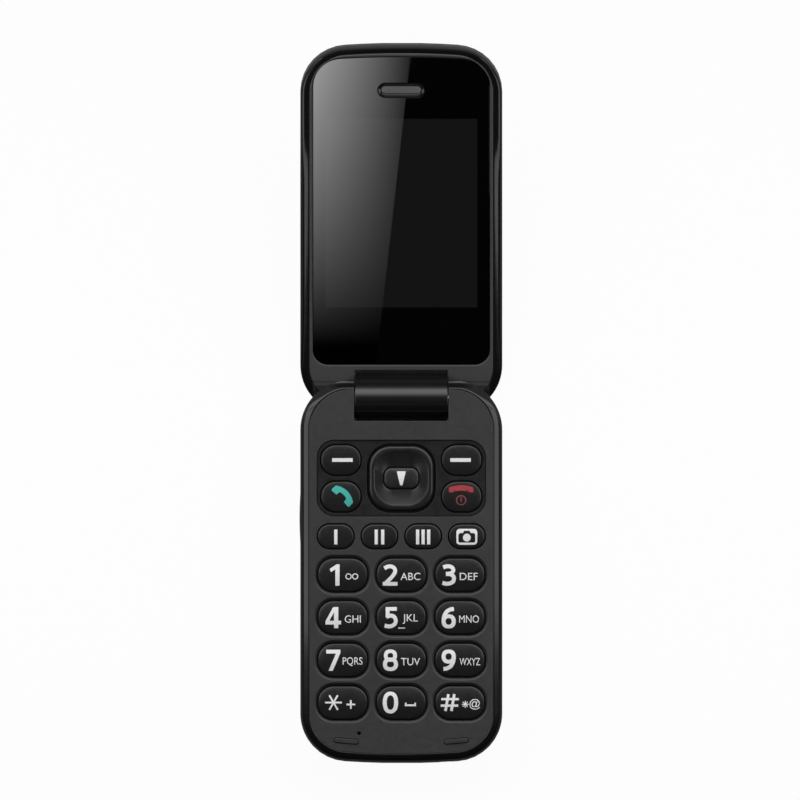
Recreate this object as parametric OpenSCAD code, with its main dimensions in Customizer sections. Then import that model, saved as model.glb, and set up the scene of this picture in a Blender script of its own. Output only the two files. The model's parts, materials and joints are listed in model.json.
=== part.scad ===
// Clamshell phone with a keypad base and a display lid, drawn open.
// X runs across the phone, Y along it towards the lid, Z up out of the keypad.
// The origin is the centre of the flat back of the base.

/* [Casing] */
// Width of the base and of the lid
body_w = 53; // [52:0.5:58]
// Length of the base
base_l = 100.5; // [100:0.5:108]
// Thickness of the base
base_t = 11; // [11:0.1:13]
// Length of the lid beyond the hinge axis
lid_reach = 94.7; // [94:0.1:100]
// Thickness of the lid
lid_t = 7.2; // [7:0.1:9]
// Gap between the base and the lid when the phone is closed
closed_gap = 0.6; // [0.55:0.05:1]
// Corner radius in plan at the hinge end
hinge_corner_r = 13; // [11:0.5:14]
// Corner radius in plan at the free end
free_corner_r = 12.5; // [11:0.5:14]
// How far the free ends bow out
end_bow = 0.45; // [0.1:0.05:0.8]
// Width of the glossy rim seen from the front
rim_w = 2.4; // [2:0.1:2.6]
// Width of the lid's rim at its free end
lid_rim_top_w = 1.5; // [1.35:0.05:2]
// Wall thickness of the casings
wall = 1.3; // [1.2:0.05:1.4]
// Thickness of the two face plates
plate_t = 1.3; // [1.2:0.05:1.4]
// Inset of the rounded back edge
back_round = 3.2; // [2.5:0.1:4]
// Height of the line between the rear housing and the rim
split_z = 4.6; // [4.2:0.1:5]

/* [Hinge] */
// Distance of the hinge axis from the hinge end
hinge_inset = 5.2; // [5.2:0.05:5.5]
// Depth of the hinge axis below the keypad face
hinge_drop = 4.25; // [4.2:0.05:4.3]
// Opening angle in degrees
open_angle = 164; // [160:1:164]
// Width of the hinge barrel
barrel_w = 24.1; // [22:0.1:26]
// Radius of the hinge barrel
barrel_r = 4.45; // [4.3:0.05:4.5]
// Gap at each end of the barrel
barrel_end_gap = 0.35; // [0.2:0.05:0.5]
// Distance of the notch's straight edge from the axis
notch_reach = 5.5; // [5.4:0.05:6]
// Clearance round the turning parts
turn_gap = 0.3; // [0.25:0.05:0.35]
// Radius of the hinge shaft
shaft_r = 1.5; // [1.3:0.05:1.7]
// Radius of the hollow hinge pin
pin_r = 2.2; // [2:0.05:2.4]
// Bore of the hollow hinge pin
pin_bore_r = 1.5; // [1.2:0.05:1.6]
// Running clearance of the hinge shaft and pin
run_gap = 0.05; // [0.03:0.01:0.08]

/* [Keypad] */
// Distance of the outer number keys from the side of the base
number_margin = 4.67; // [4:0.01:5]
// Space between two number keys across
number_space = 2.48; // [2.3:0.02:2.6]
// Height of a number key
number_h = 8.65; // [8:0.05:8.9]
// Corner radius of a number key
number_r = 4; // [3:0.1:4]
// Spacing of the number keys along
number_pitch_y = 11.18; // [11:0.02:11.3]
// Distance of the first number row from the hinge axis
number_d = 45.9; // [45.7:0.1:46.2]
// Distance of the outer quick keys from the side of the base
quick_margin = 4.6; // [4.2:0.05:5]
// Space between two quick keys
quick_space = 2.05; // [1.9:0.05:2.3]
// Height of a quick key
quick_h = 6.3; // [6:0.1:6.5]
// Corner radius of a quick key
quick_r = 3.1; // [2.5:0.1:3.1]
// Distance of the quick keys from the hinge axis
quick_d = 35.8; // [35.6:0.1:36]
// Distance of the soft, call and end keys from the side of the base
side_key_margin = 5.45; // [5.3:0.05:5.7]
// Distance of those keys from the navigation pad
side_key_space = 2.15; // [2.1:0.05:2.5]
// Height of a soft, call or end key
side_key_h = 7.9; // [7.5:0.1:8]
// Corner radius of a soft, call or end key
side_key_r = 3.8; // [3:0.1:3.9]
// Distance of the soft keys from the hinge axis
soft_d = 15.8; // [15.7:0.05:15.9]
// Distance of the call and end keys from the hinge axis
call_d = 25.4; // [25.3:0.05:25.5]
// Gap round each key
key_gap = 0.3; // [0.2:0.05:0.35]
// Width of the bevel round the opening of a number key
bevel_w = 0.65; // [0.5:0.05:0.7]
// Depth of that bevel
bevel_drop = 0.45; // [0.3:0.05:0.6]
// Travel of a key
key_travel = 0.35; // [0.25:0.05:0.4]
// How far a key's crown stands out of its face
key_proud = 0.45; // [0.35:0.05:0.45]
// Radius of the crown of a key
crown_r = 60; // [50:1:90]
// Width of the flange that holds a key behind its plate
flange_w = 0.6; // [0.4:0.05:0.65]

/* [Navigation] */
// Distance of the recessed navigation panel from the side of the base
panel_margin = 4.3; // [4:0.05:4.5]
// Height of the navigation panel
panel_h = 20.1; // [19.8:0.1:20.3]
// Corner radius of the navigation panel
panel_r = 4.6; // [4:0.1:5]
// Distance of its centre from the hinge axis
nav_d = 20.55; // [20.5:0.05:20.6]
// Depth of the panel below the keypad face
panel_drop = 0.4; // [0.3:0.05:0.5]
// Size of the navigation pad
pad_w = 17; // [16.5:0.1:17.2]
// Corner radius of the navigation pad
pad_r = 5.6; // [5:0.1:6]
// Width of the rounded rim of the navigation pad
pad_rim = 1.3; // [1:0.1:1.5]
// Depth of the dish in the navigation pad
pad_dish = 0.75; // [0.5:0.05:0.8]
// Width of the centre key
centre_w = 9.2; // [8.6:0.1:9.4]
// Height of the centre key
centre_h = 5.5; // [5:0.1:5.8]
// Gap round the pad and the centre key
pad_gap = 0.55; // [0.5:0.05:0.6]

/* [Lid face] */
// Distance of the display glass from the side of the lid
glass_margin = 3.3; // [3.2:0.05:3.5]
// Distance of the glass's low edge from the hinge axis
glass_low = 8.2; // [8.1:0.1:8.6]
// Distance of the glass's high edge from the lid's end
glass_top_inset = 2.45; // [2.3:0.05:2.8]
// Corner radius of the glass at the free end
glass_top_r = 7.6; // [7:0.1:9]
// Corner radius of the glass near the hinge
glass_low_r = 4.1; // [3.5:0.1:5]
// Thickness of the glass
glass_t = 0.8; // [0.7:0.05:0.8]
// Distance of the display panel from the sides of the glass
display_margin = 1.6; // [1.4:0.1:2.6]
// Distance of the display panel from the glass's low edge
display_low_margin = 12.9; // [12:0.1:14]
// Distance of the display panel from the glass's high edge
display_high_margin = 14.15; // [13.5:0.05:15]
// Width of the earpiece slot
earpiece_w = 12.4; // [11:0.1:13]
// Height of the earpiece slot
earpiece_h = 4; // [3.6:0.1:4.2]
// Distance of the earpiece from the lid's free end
earpiece_inset = 11.6; // [11:0.1:11.8]

/* [Back] */
// How far the battery cover runs past the battery
cover_margin = 2.75; // [2.5:0.05:3]
// Wall thickness of the battery cover
cover_t = 1; // [0.9:0.05:1.1]
// Gap round the battery cover and the battery
fit_gap = 0.12; // [0.1:0.01:0.15]
// Width of the battery
battery_w = 34; // [32:0.5:35]
// Length of the battery
battery_l = 50; // [46:0.5:50.5]
// Distance of the battery from the free end
battery_margin = 13.75; // [13.75:0.05:14.5]
// Radius of the headset jack's bore
jack_r = 1.775; // [1.75:0.005:1.8]
// Depth of the headset jack's bore
jack_depth = 12; // [11:0.5:13]
// Distance of the jack from the middle line
jack_x = 11.6; // [11:0.1:12]
// Width of the outer display glass
outer_glass_w = 32; // [28:0.5:34]
// Height of the outer display glass
outer_glass_h = 24; // [20:0.5:26]
// Distance of the outer display's middle from the lid's free end
outer_glass_inset = 48.7; // [46:0.1:50]
// Radius of the camera lens cover
camera_r = 3.8; // [3.4:0.1:4.2]
// Distance of the camera from the lid's free end
camera_inset = 18.7; // [17:0.1:20]

/* [Hidden] */
NUMBER_KEYS = ["key_1", "key_2", "key_3", "key_4", "key_5", "key_6",
  "key_7", "key_8", "key_9", "key_star", "key_0", "key_hash"];
QUICK_KEYS = ["quick_key_1", "quick_key_2", "quick_key_3", "camera_key"];
SIDE_KEYS = ["left_soft_key", "right_soft_key", "call_key", "end_key"];
$fn = 48;

matte = [0.22, 0.22, 0.23];
gloss = [0.06, 0.06, 0.07];
keycap = [0.16, 0.16, 0.17];
steel = [0.7, 0.7, 0.72];
gold = [0.8, 0.65, 0.3];
green = [0.1, 0.35, 0.2];
half_w = body_w/2;
far = 3*base_l;

// Key and glass sizes, shared out over the width of the phone
number_w = (body_w - 2*number_margin - 2*number_space)/3;
number_pitch_x = number_w + number_space;
quick_w = (body_w - 2*quick_margin - 3*quick_space)/4;
quick_pitch = quick_w + quick_space;
side_key_w = half_w - side_key_margin - pad_w/2 - side_key_space;
side_key_x = half_w - side_key_margin - side_key_w/2;
panel_w = body_w - 2*panel_margin;
glass_w = body_w - 2*glass_margin;
display_w = glass_w - 2*display_margin;

// Heights in the base, counted down from the keypad face
face_z = base_t;
plate_z = face_z - plate_t;
key_flange_top = plate_z - 0.15;
key_flange_t = 0.65;
panel_face_z = face_z - panel_drop;
panel_t = 1.1;
panel_back_z = panel_face_z - panel_t;
panel_flange_t = 0.45;
side_flange_top = panel_back_z - 0.15;
mat_top = side_flange_top - key_flange_t - key_travel - 0.2;
mat_sheet_top = mat_top - 0.2;
mat_back = mat_sheet_top - 0.25;
film_back = mat_back - 0.45;
board_top = film_back - 0.05;
board_t = 0.8;
board_back = board_top - board_t;
bay_roof_back = board_back - 1.2;
bay_roof_t = 0.5;
bay_floor = cover_t + fit_gap;
battery_t = bay_roof_back - bay_floor - 2*fit_gap;
cover_split_z = 2.3;
port_z = board_back - 1.35;

// Places along the base, counted from the hinge axis or from the free end
hinge_y = base_l/2 - hinge_inset;
hinge_z = face_z - hinge_drop;
low_y = -base_l/2;
high_y = base_l/2;
battery_low_y = low_y + battery_margin;
battery_high_y = battery_low_y + battery_l;
cover_y = battery_high_y + cover_margin;
block_y = hinge_y - 7.2;
speaker_y = (cover_y + block_y)/2;
board_y0 = low_y + 2.6;
board_y1 = block_y - 0.4;
nav_y = hinge_y - nav_d;
shoulder_r = hinge_inset;
lip_r = shoulder_r + turn_gap;
lip_sweep_r = lip_r + 2;
lip_drop = 3.5;
notch_w = barrel_w + 2*barrel_end_gap;

// Depths in the lid, counted from the hinge axis through its inner face
lid_face = hinge_drop + closed_gap;
lid_back = lid_face + lid_t;
lid_tilt = 180 - open_angle;
floor_gap = 0.4;
taper_0 = (hinge_z - floor_gap)/cos(lid_tilt);
taper_rise = tan(lid_tilt);
taper_blend = 1.2;
taper_end = (lid_back - taper_0)/taper_rise;
lid_wall = 1.1;
lid_split = 0.45;
lip_end = 3.4;
lip_slope_s = -sqrt(lip_r*lip_r - lid_face*lid_face);
neck_s = 6.6;
neck_drop = 0.4;
glass_drop = 0.1;
glass_high = lid_reach - glass_top_inset;
display_low = glass_low + display_low_margin;
display_high = glass_high - display_high_margin;
display_l = display_high - display_low;
display_d = (display_low + display_high)/2;
earpiece_d = lid_reach - earpiece_inset;
outer_glass_d = lid_reach - outer_glass_inset;
camera_d = lid_reach - camera_inset;
glass_back = lid_face + glass_drop + glass_t;
display_t = 1.7;
lid_board_face = glass_back + display_t + 0.4;
lid_board_t = 0.7;

// Arc of points in plan
function arc(c, r, a0, a1, n) =
  [for (i = [0:n]) c + r*[cos(a0 + (a1 - a0)*i/n), sin(a0 + (a1 - a0)*i/n)]];

// Rectangle with round corners, centred on the origin
function round_rect(w, h, r, n = 6) = concat(
  arc([w/2 - r, -h/2 + r], r, -90, 0, n), arc([w/2 - r, h/2 - r], r, 0, 90, n),
  arc([-w/2 + r, h/2 - r], r, 90, 180, n), arc([-w/2 + r, -h/2 + r], r, 180, 270, n));

// One round corner of a plan outline and half of the bowed end beside it, at the low end
function low_corner(hw, y, r, bow, n) = let (
  xc = hw - r,
  a = -90 + atan(2*bow/xc),
  xt = xc + r*cos(a),
  yc = y + bow*pow(xt/xc, 2) - r*sin(a))
  concat(bow > 0 ? [for (k = [1:2]) [xt*k/3, y + bow*pow(xt*k/3/xc, 2)]] : [],
    arc([xc, yc], r, a, 0, n));

// Right half of a plan outline, from the low end to the high end, with points along its side
function half_plan(hw, y0, y1, r0, r1, bow0, bow1, n = 8, mids = []) = let (
  low = low_corner(hw, y0, r0, bow0, n),
  high = low_corner(hw, -y1, r1, bow1, n),
  m = len(high))
  concat(low, [for (y = mids) [hw, y]], [for (i = [m - 1:-1:0]) [high[i][0], -high[i][1]]]);

// Whole outline from its right half
function mirror_plan(h) = concat(h, [for (i = [len(h) - 1:-1:0]) [-h[i][0], h[i][1]]]);

// Plan outlines of the base and of the lid, drawn in by an inset
function base_plan(inset) = mirror_plan(half_plan(half_w - inset, low_y + inset, high_y - inset,
  free_corner_r - inset, hinge_corner_r - inset, end_bow, 0));
function lid_plan(side, top, low) = mirror_plan(half_plan(half_w - side,
  -hinge_inset + low, lid_reach - top, hinge_corner_r - side, free_corner_r - side, 0, end_bow,
  8, [for (k = [-1:0.5:1]) taper_end + k*taper_blend/taper_rise]));

// Outer surface of the lid at a distance along it: a taper near the hinge that blends to flat
function lid_outer(s) = let (d = taper_0 + taper_rise*s - lid_back)
  lid_back + (d < -taper_blend ? d : d > taper_blend ? 0 : -pow(taper_blend - d, 2)/(4*taper_blend));
// Inner surface of the lid: its face, and the lip that follows the shoulders
function lid_inner(s) = s > lip_slope_s ? lid_face : max(lip_drop, sqrt(max(0, lip_r*lip_r - s*s)));

// One ring of the lid at a share t of its depth
function lid_ring(plan, t) = [for (p = plan)
  [p[0], p[1], -(lid_inner(p[1]) + (lid_outer(p[1]) - lid_inner(p[1]))*t)]];

// Solid through rings of equal length, each symmetric about X = 0
module ring_loft(rings) {
  n = len(rings[0]);
  m = len(rings);
  sides = [for (k = [0:m - 2], i = [0:n - 1]) let (j = (i + 1)%n, a = k*n, b = (k + 1)*n)
    each [[a + i, b + i, b + j], [a + i, b + j, a + j]]];
  low = [for (i = [0:n/2 - 2]) each [[i, i + 1, n - 2 - i], [i, n - 2 - i, n - 1 - i]]];
  top = [for (f = low) [f[0] + (m - 1)*n, f[2] + (m - 1)*n, f[1] + (m - 1)*n]];
  polyhedron([for (r = rings) each r], concat(sides, low, top));
}

// Prism of an outline between two heights
module slab(points, z0, z1) {
  translate([0, 0, z0]) linear_extrude(z1 - z0) polygon(points);
}

// Block between two corners
module block(x0, x1, y0, y1, z0, z1) {
  translate([x0, y0, z0]) cube([x1 - x0, y1 - y0, z1 - z0]);
}

// Profile in the YZ plane, run along X and centred
module along_x(w) {
  rotate([90, 0, 90]) translate([0, 0, -w/2]) linear_extrude(w) children();
}

// Round bar along X
module bar_x(r, x0, x1) {
  translate([x0, 0, 0]) rotate([0, 90, 0]) cylinder(r = r, h = x1 - x0);
}

module hinge_frame() {
  translate([0, hinge_y, hinge_z]) children();
}

// The lid is drawn with Y along it from the axis and its face upwards, then tilted open
module lid_frame() {
  hinge_frame() rotate([lid_tilt, 0, 0]) children();
}

// Room that the turning lip needs in the hinge end of the base, round a centre
module lip_room() {
  intersection() {
    circle(lip_sweep_r);
    polygon([[0, 0], far*[cos(-137), sin(-137)], [0, -far], [far, -far], [far, far]]);
  }
  translate([0, -far]) square([far, 2*far]);
  translate([-4.4, -far]) square([far, far - 5.6]);
}

// Cuts that shape the hinge end: the round shoulders and the notch for the barrel
module hinge_end_cuts() {
  hinge_frame() {
    along_x(far) difference() {
      lip_room();
      circle(shoulder_r);
    }
    along_x(notch_w) {
      lip_room();
      circle(barrel_r + turn_gap);
      translate([-notch_reach, 0]) square([far, far]);
    }
  }
}

// Outer skin of the base's back, drawn in by a wall
module back_skin(inset) {
  levels = [[back_round, 0], [1.9, 0.2], [0.95, 0.75], [0.3, 1.7], [0, 3], [0, split_z]];
  ring_loft([for (v = levels) let (z = min(split_z, v[1] + inset))
    [for (p = base_plan(v[0] + inset)) [p[0], p[1], z]]]);
}

// Number key places: three columns and four rows
function number_place(i) = [number_pitch_x*(i%3 - 1), hinge_y - number_d - number_pitch_y*floor(i/3)];
function quick_place(i) = [quick_pitch*(i - 1.5), hinge_y - quick_d];
function side_place(i) = [side_key_x*(i%2 == 0 ? -1 : 1), hinge_y - (i < 2 ? soft_d : call_d)];

number_shape = [number_w, number_h, number_r];
quick_shape = [quick_w, quick_h, quick_r];
side_shape = [side_key_w, side_key_h, side_key_r];

module outline(shape, grow) {
  polygon(round_rect(shape[0] + 2*grow, shape[1] + 2*grow, shape[2] + grow));
}

module at_number(i) {
  translate(number_place(i)) children();
}

module at_quick(i) {
  translate(quick_place(i)) children();
}

module at_side(i) {
  translate(side_place(i)) children();
}

// All key outlines that pass the keypad plate, grown by a margin
module plate_key_outlines(grow) {
  for (i = [0:11]) at_number(i) outline(number_shape, grow);
  for (i = [0:3]) at_quick(i) outline(quick_shape, grow);
}

module side_key_outlines(grow) {
  for (i = [0:3]) at_side(i) outline(side_shape, grow);
}

// Bevel round an opening, cut down from a face
module bevel_cut(shape, grow, z) {
  ring_loft([for (k = [0, 1.5]) let (g = 2*(grow + k*bevel_w))
    [for (p = round_rect(shape[0] + g, shape[1] + g, shape[2] + g/2))
      [p[0], p[1], z - bevel_drop + k*bevel_drop]]]);
}

// Keycap with a crowned top and a flange behind the plate
module keycap_solid(shape, top, flange_top) {
  flange_back = flange_top - key_flange_t;
  translate([0, 0, flange_back]) linear_extrude(key_flange_t) outline(shape, flange_w);
  intersection() {
    translate([0, 0, flange_back]) linear_extrude(top - flange_back) outline(shape, 0);
    translate([0, 0, top - crown_r]) sphere(crown_r, $fn = 96);
  }
}

module number_key(i) {
  color(keycap) at_number(i) keycap_solid(number_shape, face_z + key_proud, key_flange_top);
}

module quick_key(i) {
  color(keycap) at_quick(i) keycap_solid(quick_shape, face_z + key_proud, key_flange_top);
}

module side_key(i) {
  color(keycap) at_side(i) keycap_solid(side_shape, face_z + key_proud - 0.1, side_flange_top);
}

bumper_x = 14.4;
bumper_d = 89.5;
bumper_w = 6.6;
bumper_h = 1.5;
bumper_proud = 0.45;
bumper_depth = 0.4;
mic_x = -11.1;
mic_d = 87.5;

module at_bumpers() {
  for (side = [-1, 1]) translate([side*bumper_x, hinge_y - bumper_d]) rotate(5*side) children();
}

// Matte keypad plate
module base_front_cover() {
  color(matte) difference() {
    union() {
      slab(base_plan(rim_w), plate_z, face_z);
      intersection() {
        slab(base_plan(wall + 0.05), plate_z - 0.5, plate_z);
        block(-half_w, half_w, low_y, block_y, plate_z - 0.5, plate_z);
      }
    }
    intersection() {
      slab(base_plan(rim_w + 0.25), plate_z - 0.6, plate_z);
      block(-half_w, half_w, low_y, high_y, plate_z - 0.6, plate_z);
    }
    translate([0, 0, plate_z - 0.6]) linear_extrude(far) plate_key_outlines(key_gap);
    for (i = [0:11]) at_number(i) bevel_cut(number_shape, key_gap, face_z);
    translate([0, nav_y, plate_z - 0.6]) linear_extrude(far) outline([panel_w, panel_h, panel_r], 0);
    translate([0, 0, face_z - bumper_depth]) linear_extrude(far) at_bumpers()
      outline([bumper_w, bumper_h, bumper_h/2], 0);
    translate([mic_x, hinge_y - mic_d, 0]) cylinder(r = 0.5, h = far);
    hinge_end_cuts();
  }
}

// Glossy rim: side wall and bevelled edge round the keypad plate
module base_rim() {
  bevel = [[0, -2], [0.12, -1.45], [0.5, -0.8], [1.3, -0.25], [rim_w, 0]];
  color(gloss) difference() {
    ring_loft(concat([[for (p = base_plan(0)) [p[0], p[1], split_z]]],
      [for (v = bevel) [for (p = base_plan(v[0])) [p[0], p[1], face_z + v[1]]]]));
    slab(base_plan(rim_w), split_z - 1, face_z + 1);
    slab(base_plan(wall), split_z - 1, plate_z);
    block(-7.8/2, 7.8/2, low_y - 1, low_y + 4, port_z - 1.5, port_z + 1.5);
    translate([jack_x, low_y - 1, port_z]) rotate([-90, 0, 0]) cylinder(r = 2.6, h = 4);
    volume_opening();
    hinge_end_cuts();
  }
}

volume_y = 14;
volume_l = 15;
volume_h = 3.2;
volume_z = split_z + 2.4;
volume_tilt = 1.5;
volume_proud = 0.2;
volume_t = 1.2;

module volume_opening() {
  block(-half_w - 1, -half_w + 2.8, volume_y - volume_l/2 - 0.2, volume_y + volume_l/2 + 0.2,
    volume_z - volume_h/2 - 0.2, volume_z + volume_h/2 + 0.2);
}

// Room behind the rocker in the housing and the board
module volume_recess() {
  block(-half_w + wall, -half_w + 2.9, volume_y - volume_l/2 - 0.2, volume_y + volume_l/2 + 0.2,
    volume_z - volume_h/2 - 0.2, far);
}

// Volume rocker on the left side
module volume_key() {
  color(keycap) {
    intersection() {
      translate([-half_w - volume_proud, volume_y, volume_z]) rotate([0, 90, 0])
        linear_extrude(volume_proud + volume_t) polygon(round_rect(volume_h, volume_l, 1.2));
      translate([-half_w - volume_proud + 110, volume_y, 0]) cylinder(r = 110, h = far, $fn = 720);
    }
    block(-half_w + volume_t, -half_w + volume_t + 0.7, volume_y - volume_l/2 + 1, volume_y + volume_l/2 - 1,
      volume_z - 1, volume_z + 1);
    translate([-half_w + volume_t, volume_y, volume_z - 1.7]) cylinder(r = 0.3, h = 3.4);
  }
}

screw_places = [for (v = [[-half_w + 7.5, low_y + 7.6], [-half_w + 5.9, block_y - 0.5]], side = [1, -1])
  [side*v[0], v[1]]];
boss_r = 1.9;
function boss_foot(y) = y > cover_y ? wall - 0.3 : cover_t + fit_gap + 0.3;
screw_r = 0.8;
screw_head_r = 1.5;
bay_margin = 0.3;
sim_w = 25.6;
sim_low = 3.8;
sim_high = 12.8;
sim_wall = 0.5;
sim_gap = 0.4;
bay_y = (battery_low_y + battery_high_y)/2;

// Rear housing: back shell, tray over the battery bay, screw bosses and hinge blocks
module base_rear_housing() {
  color(matte) difference() {
    union() {
      difference() {
        back_skin(0);
        difference() {
          back_skin(wall);
          block(-half_w, half_w, low_y, cover_y + wall, -1, cover_t + fit_gap + wall);
        }
        battery_cover_room();
      }
      intersection() {
        slab(base_plan(wall + 0.05), cover_split_z, board_back);
        difference() {
          slab(base_plan(0), cover_split_z, board_back);
          slab(base_plan(rim_w), cover_split_z - 1, board_back + 1);
        }
      }
      block(-battery_w/2 - 1.5, battery_w/2 + 1.5, bay_y - battery_l/2 - 1.5,
        bay_y + battery_l/2 + 1.5, cover_t + fit_gap + 0.2, bay_roof_back + bay_roof_t);
      for (p = screw_places) translate([p[0], p[1], boss_foot(p[1])])
        cylinder(r = boss_r, h = plate_z - boss_foot(p[1]));
      intersection() {
        slab(base_plan(rim_w + 0.05), 0.5, plate_z);
        hinge_blocks();
      }
    }
    block(-battery_w/2 - bay_margin, battery_w/2 + bay_margin, bay_y - battery_l/2 - bay_margin,
      bay_y + battery_l/2 + bay_margin, -1, bay_roof_back);
    block(-sim_w/2 - sim_gap, sim_w/2 + sim_gap, bay_y - sim_low - sim_gap, bay_y + sim_high + sim_gap,
      -1, far);
    block(-4.4, 4.4, bay_y + battery_l/2 - 1, bay_y + battery_l/2 + 4, cover_t + 1, far);
    for (p = screw_places) translate([p[0], p[1], 0]) {
      cylinder(r = screw_r, h = far);
      translate([0, 0, -1]) cylinder(r = screw_head_r + 0.15, h = 3.5);
    }
    for (i = [-2:2]) translate([0, speaker_y + 2.4*i, -1]) linear_extrude(3)
      polygon(round_rect(12, 1.1, 0.5));
    block(-7.8/2, 7.8/2, low_y - 1, low_y + 4, port_z - 1.5, far);
    translate([jack_x, low_y - 1, port_z]) rotate([-90, 0, 0]) cylinder(r = 2.6, h = 4);
    block(jack_x - 2.7, jack_x + 2.7, low_y + 2.6, low_y + jack_depth + 1.6, port_z - 2.4, far);
    volume_recess();
    hinge_frame() {
      bar_x(pin_r + 0.01, -notch_w/2 - 4, 0);
      bar_x(shaft_r + 0.9, 0, notch_w/2 + 4);
    }
    hinge_end_cuts();
  }
}

// Solid ends of the base that hold the hinge pins
module hinge_blocks() {
  for (side = [-1, 1]) translate([side*(notch_w/2 + 4), 0, 0])
    block(-4.5, 4.5, block_y, high_y, 0.4, plate_z);
}

module battery_cover_room() {
  intersection() {
    difference() {
      block(-half_w - 1, half_w + 1, low_y - 1, cover_y + fit_gap, -1, cover_split_z + fit_gap);
      back_skin(cover_t + fit_gap);
    }
    block(-half_w - 1, half_w + 1, low_y - 1, cover_y + fit_gap, -1, far);
  }
}

// Battery cover, which wraps the lower back
module battery_cover() {
  color(matte) difference() {
    intersection() {
      back_skin(0);
      block(-half_w, half_w, low_y - 1, cover_y, -1, cover_split_z);
    }
    back_skin(cover_t);
  }
}

module battery_pack() {
  color([0.25, 0.27, 0.3]) translate([0, bay_y, bay_floor + fit_gap])
    linear_extrude(battery_t) polygon(round_rect(battery_w, battery_l, 2));
}

module battery_contacts() {
  color(gold) {
    block(-4, 4, bay_y + battery_l/2 + 1, bay_y + battery_l/2 + 3.2, board_back - 2.6, board_back);
    for (x = [-2.5, 0, 2.5]) block(x - 0.5, x + 0.5, bay_y + battery_l/2 + 0.1,
      bay_y + battery_l/2 + 1, board_back - 2.4, board_back - 1.4);
  }
}

module sim_holder() {
  color(steel) difference() {
    block(-sim_w/2, sim_w/2, bay_y - sim_low, bay_y + sim_high, bay_roof_back + 0.05, board_back);
    block(-sim_w/2 + sim_wall, sim_w/2 - sim_wall, bay_y - sim_low - 1, bay_y + sim_high - sim_wall,
      bay_roof_back + 0.3, board_back - 0.2);
    block(-9, 9, bay_y - 1, bay_y + 9.5, bay_roof_back, bay_roof_back + 1);
  }
}

module main_board() {
  color(green) difference() {
    intersection() {
      slab(base_plan(wall + 0.4), board_back, board_top);
      block(-half_w, half_w, board_y0, board_y1, 0, far);
    }
    for (p = screw_places) translate([p[0], p[1], 0]) cylinder(r = boss_r + 0.15, h = far);
    block(jack_x - 3, jack_x + 3, low_y, low_y + jack_depth + 1.8, 0, far);
    volume_recess();
  }
}

shield_margin = 9.5;
shield_low = 1;
shield_high = 1.8;
shield_wall = 0.3;
shield_w = body_w - 2*shield_margin;

module shield_can() {
  color(steel) difference() {
    block(-shield_w/2, shield_w/2, cover_y + shield_low, block_y - shield_high, board_back - 1.6,
      board_back);
    block(-shield_w/2 + shield_wall, shield_w/2 - shield_wall, cover_y + shield_low + shield_wall,
      block_y - shield_high - shield_wall, board_back - 1.3, board_back + 1);
  }
}

module dome_sheet() {
  color(steel) {
    block(-half_w + 4, half_w - 4, low_y + 15.2, hinge_y - 10.2, board_top, board_top + 0.1);
    for (i = [0:11]) at_number(i) dome();
    for (i = [0:3]) at_quick(i) dome();
    for (i = [0:3]) at_side(i) dome();
    translate([0, nav_y]) dome();
    for (a = [0:90:270]) translate([0, nav_y]) rotate(a) translate([6.4, 0]) dome();
  }
}

module dome() {
  translate([0, 0, board_top + 0.1]) intersection() {
    cylinder(r = 2, h = 0.3);
    translate([0, 0, 0.3 - 8]) sphere(8);
  }
}

// Rubber mat with a raised pad under each key
module key_mat() {
  color([0.12, 0.12, 0.12]) difference() {
    union() {
      block(-half_w + 3.7, half_w - 3.7, low_y + 10.6, hinge_y - 9.8, mat_back, mat_sheet_top);
      translate([0, 0, mat_back]) linear_extrude(mat_top - mat_back) {
        for (i = [0:11]) at_number(i) circle(2.4);
        for (i = [0:3]) at_quick(i) circle(2.2);
        for (i = [0:3]) at_side(i) circle(2.2);
      }
    }
    translate([mic_x, hinge_y - mic_d, 0]) cylinder(r = 2.3, h = far);
  }
}

// Gloss panel round the navigation pad
module nav_panel() {
  panel_shape = [panel_w, panel_h, panel_r];
  color(gloss) difference() {
    translate([0, nav_y, 0]) {
      translate([0, 0, panel_back_z]) linear_extrude(panel_t) outline(panel_shape, -0.05);
      translate([0, 0, panel_back_z]) linear_extrude(plate_z - panel_back_z - 0.02)
        outline(panel_shape, 0.7);
    }
    linear_extrude(far) side_key_outlines(key_gap);
    translate([0, nav_y, 0]) linear_extrude(far) outline([pad_w, pad_w, pad_r], pad_gap);
  }
}

pad_top = face_z + 0.25;
pad_back = mat_sheet_top + 0.7;
pad_flange_t = 0.4;
web_t = 0.3;
web_z = mat_sheet_top + 0.25;

// Web that lets the navigation pad tilt both ways, with a round rib along each axis
module nav_web() {
  color([0.12, 0.12, 0.12]) translate([0, nav_y, web_z]) {
    cylinder(r = 3, h = web_t);
    translate([0, 0, web_t/2]) bar_x(0.25, -2.6, 2.6);
    translate([0, 0, web_t/2]) rotate(90) bar_x(0.25, -2.6, 2.6);
  }
}

// Navigation pad: raised rim and a dished face round the centre key
module nav_pad() {
  dish_r = pow(pad_w/2 - pad_rim, 2)/(2*pad_dish);
  rim = [[0, -pad_top + pad_back], [0, -1.05], [0.18, -0.5], [0.55, -0.15], [pad_rim, 0]];
  color(keycap) translate([0, nav_y, 0]) difference() {
    union() {
      ring_loft([for (v = rim) [for (p = round_rect(pad_w - 2*v[0], pad_w - 2*v[0], pad_r - v[0]))
        [p[0], p[1], pad_top + v[1]]]]);
      translate([0, 0, pad_back]) linear_extrude(pad_flange_t) outline([pad_w, pad_w, pad_r], 0.9);
    }
    translate([0, 0, pad_top - pad_dish + dish_r]) sphere(dish_r, $fn = 96);
    translate([0, 0, pad_back - 1]) linear_extrude(far) outline([centre_w, centre_h, 2], 0.25);
    translate([0, 0, pad_back - 1]) cylinder(r = 3.7, h = 1.3);
    translate([0, 0, pad_back - 1]) linear_extrude(1 + 1.15) outline([centre_w, centre_h, 2], 0.9);
  }
}

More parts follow.
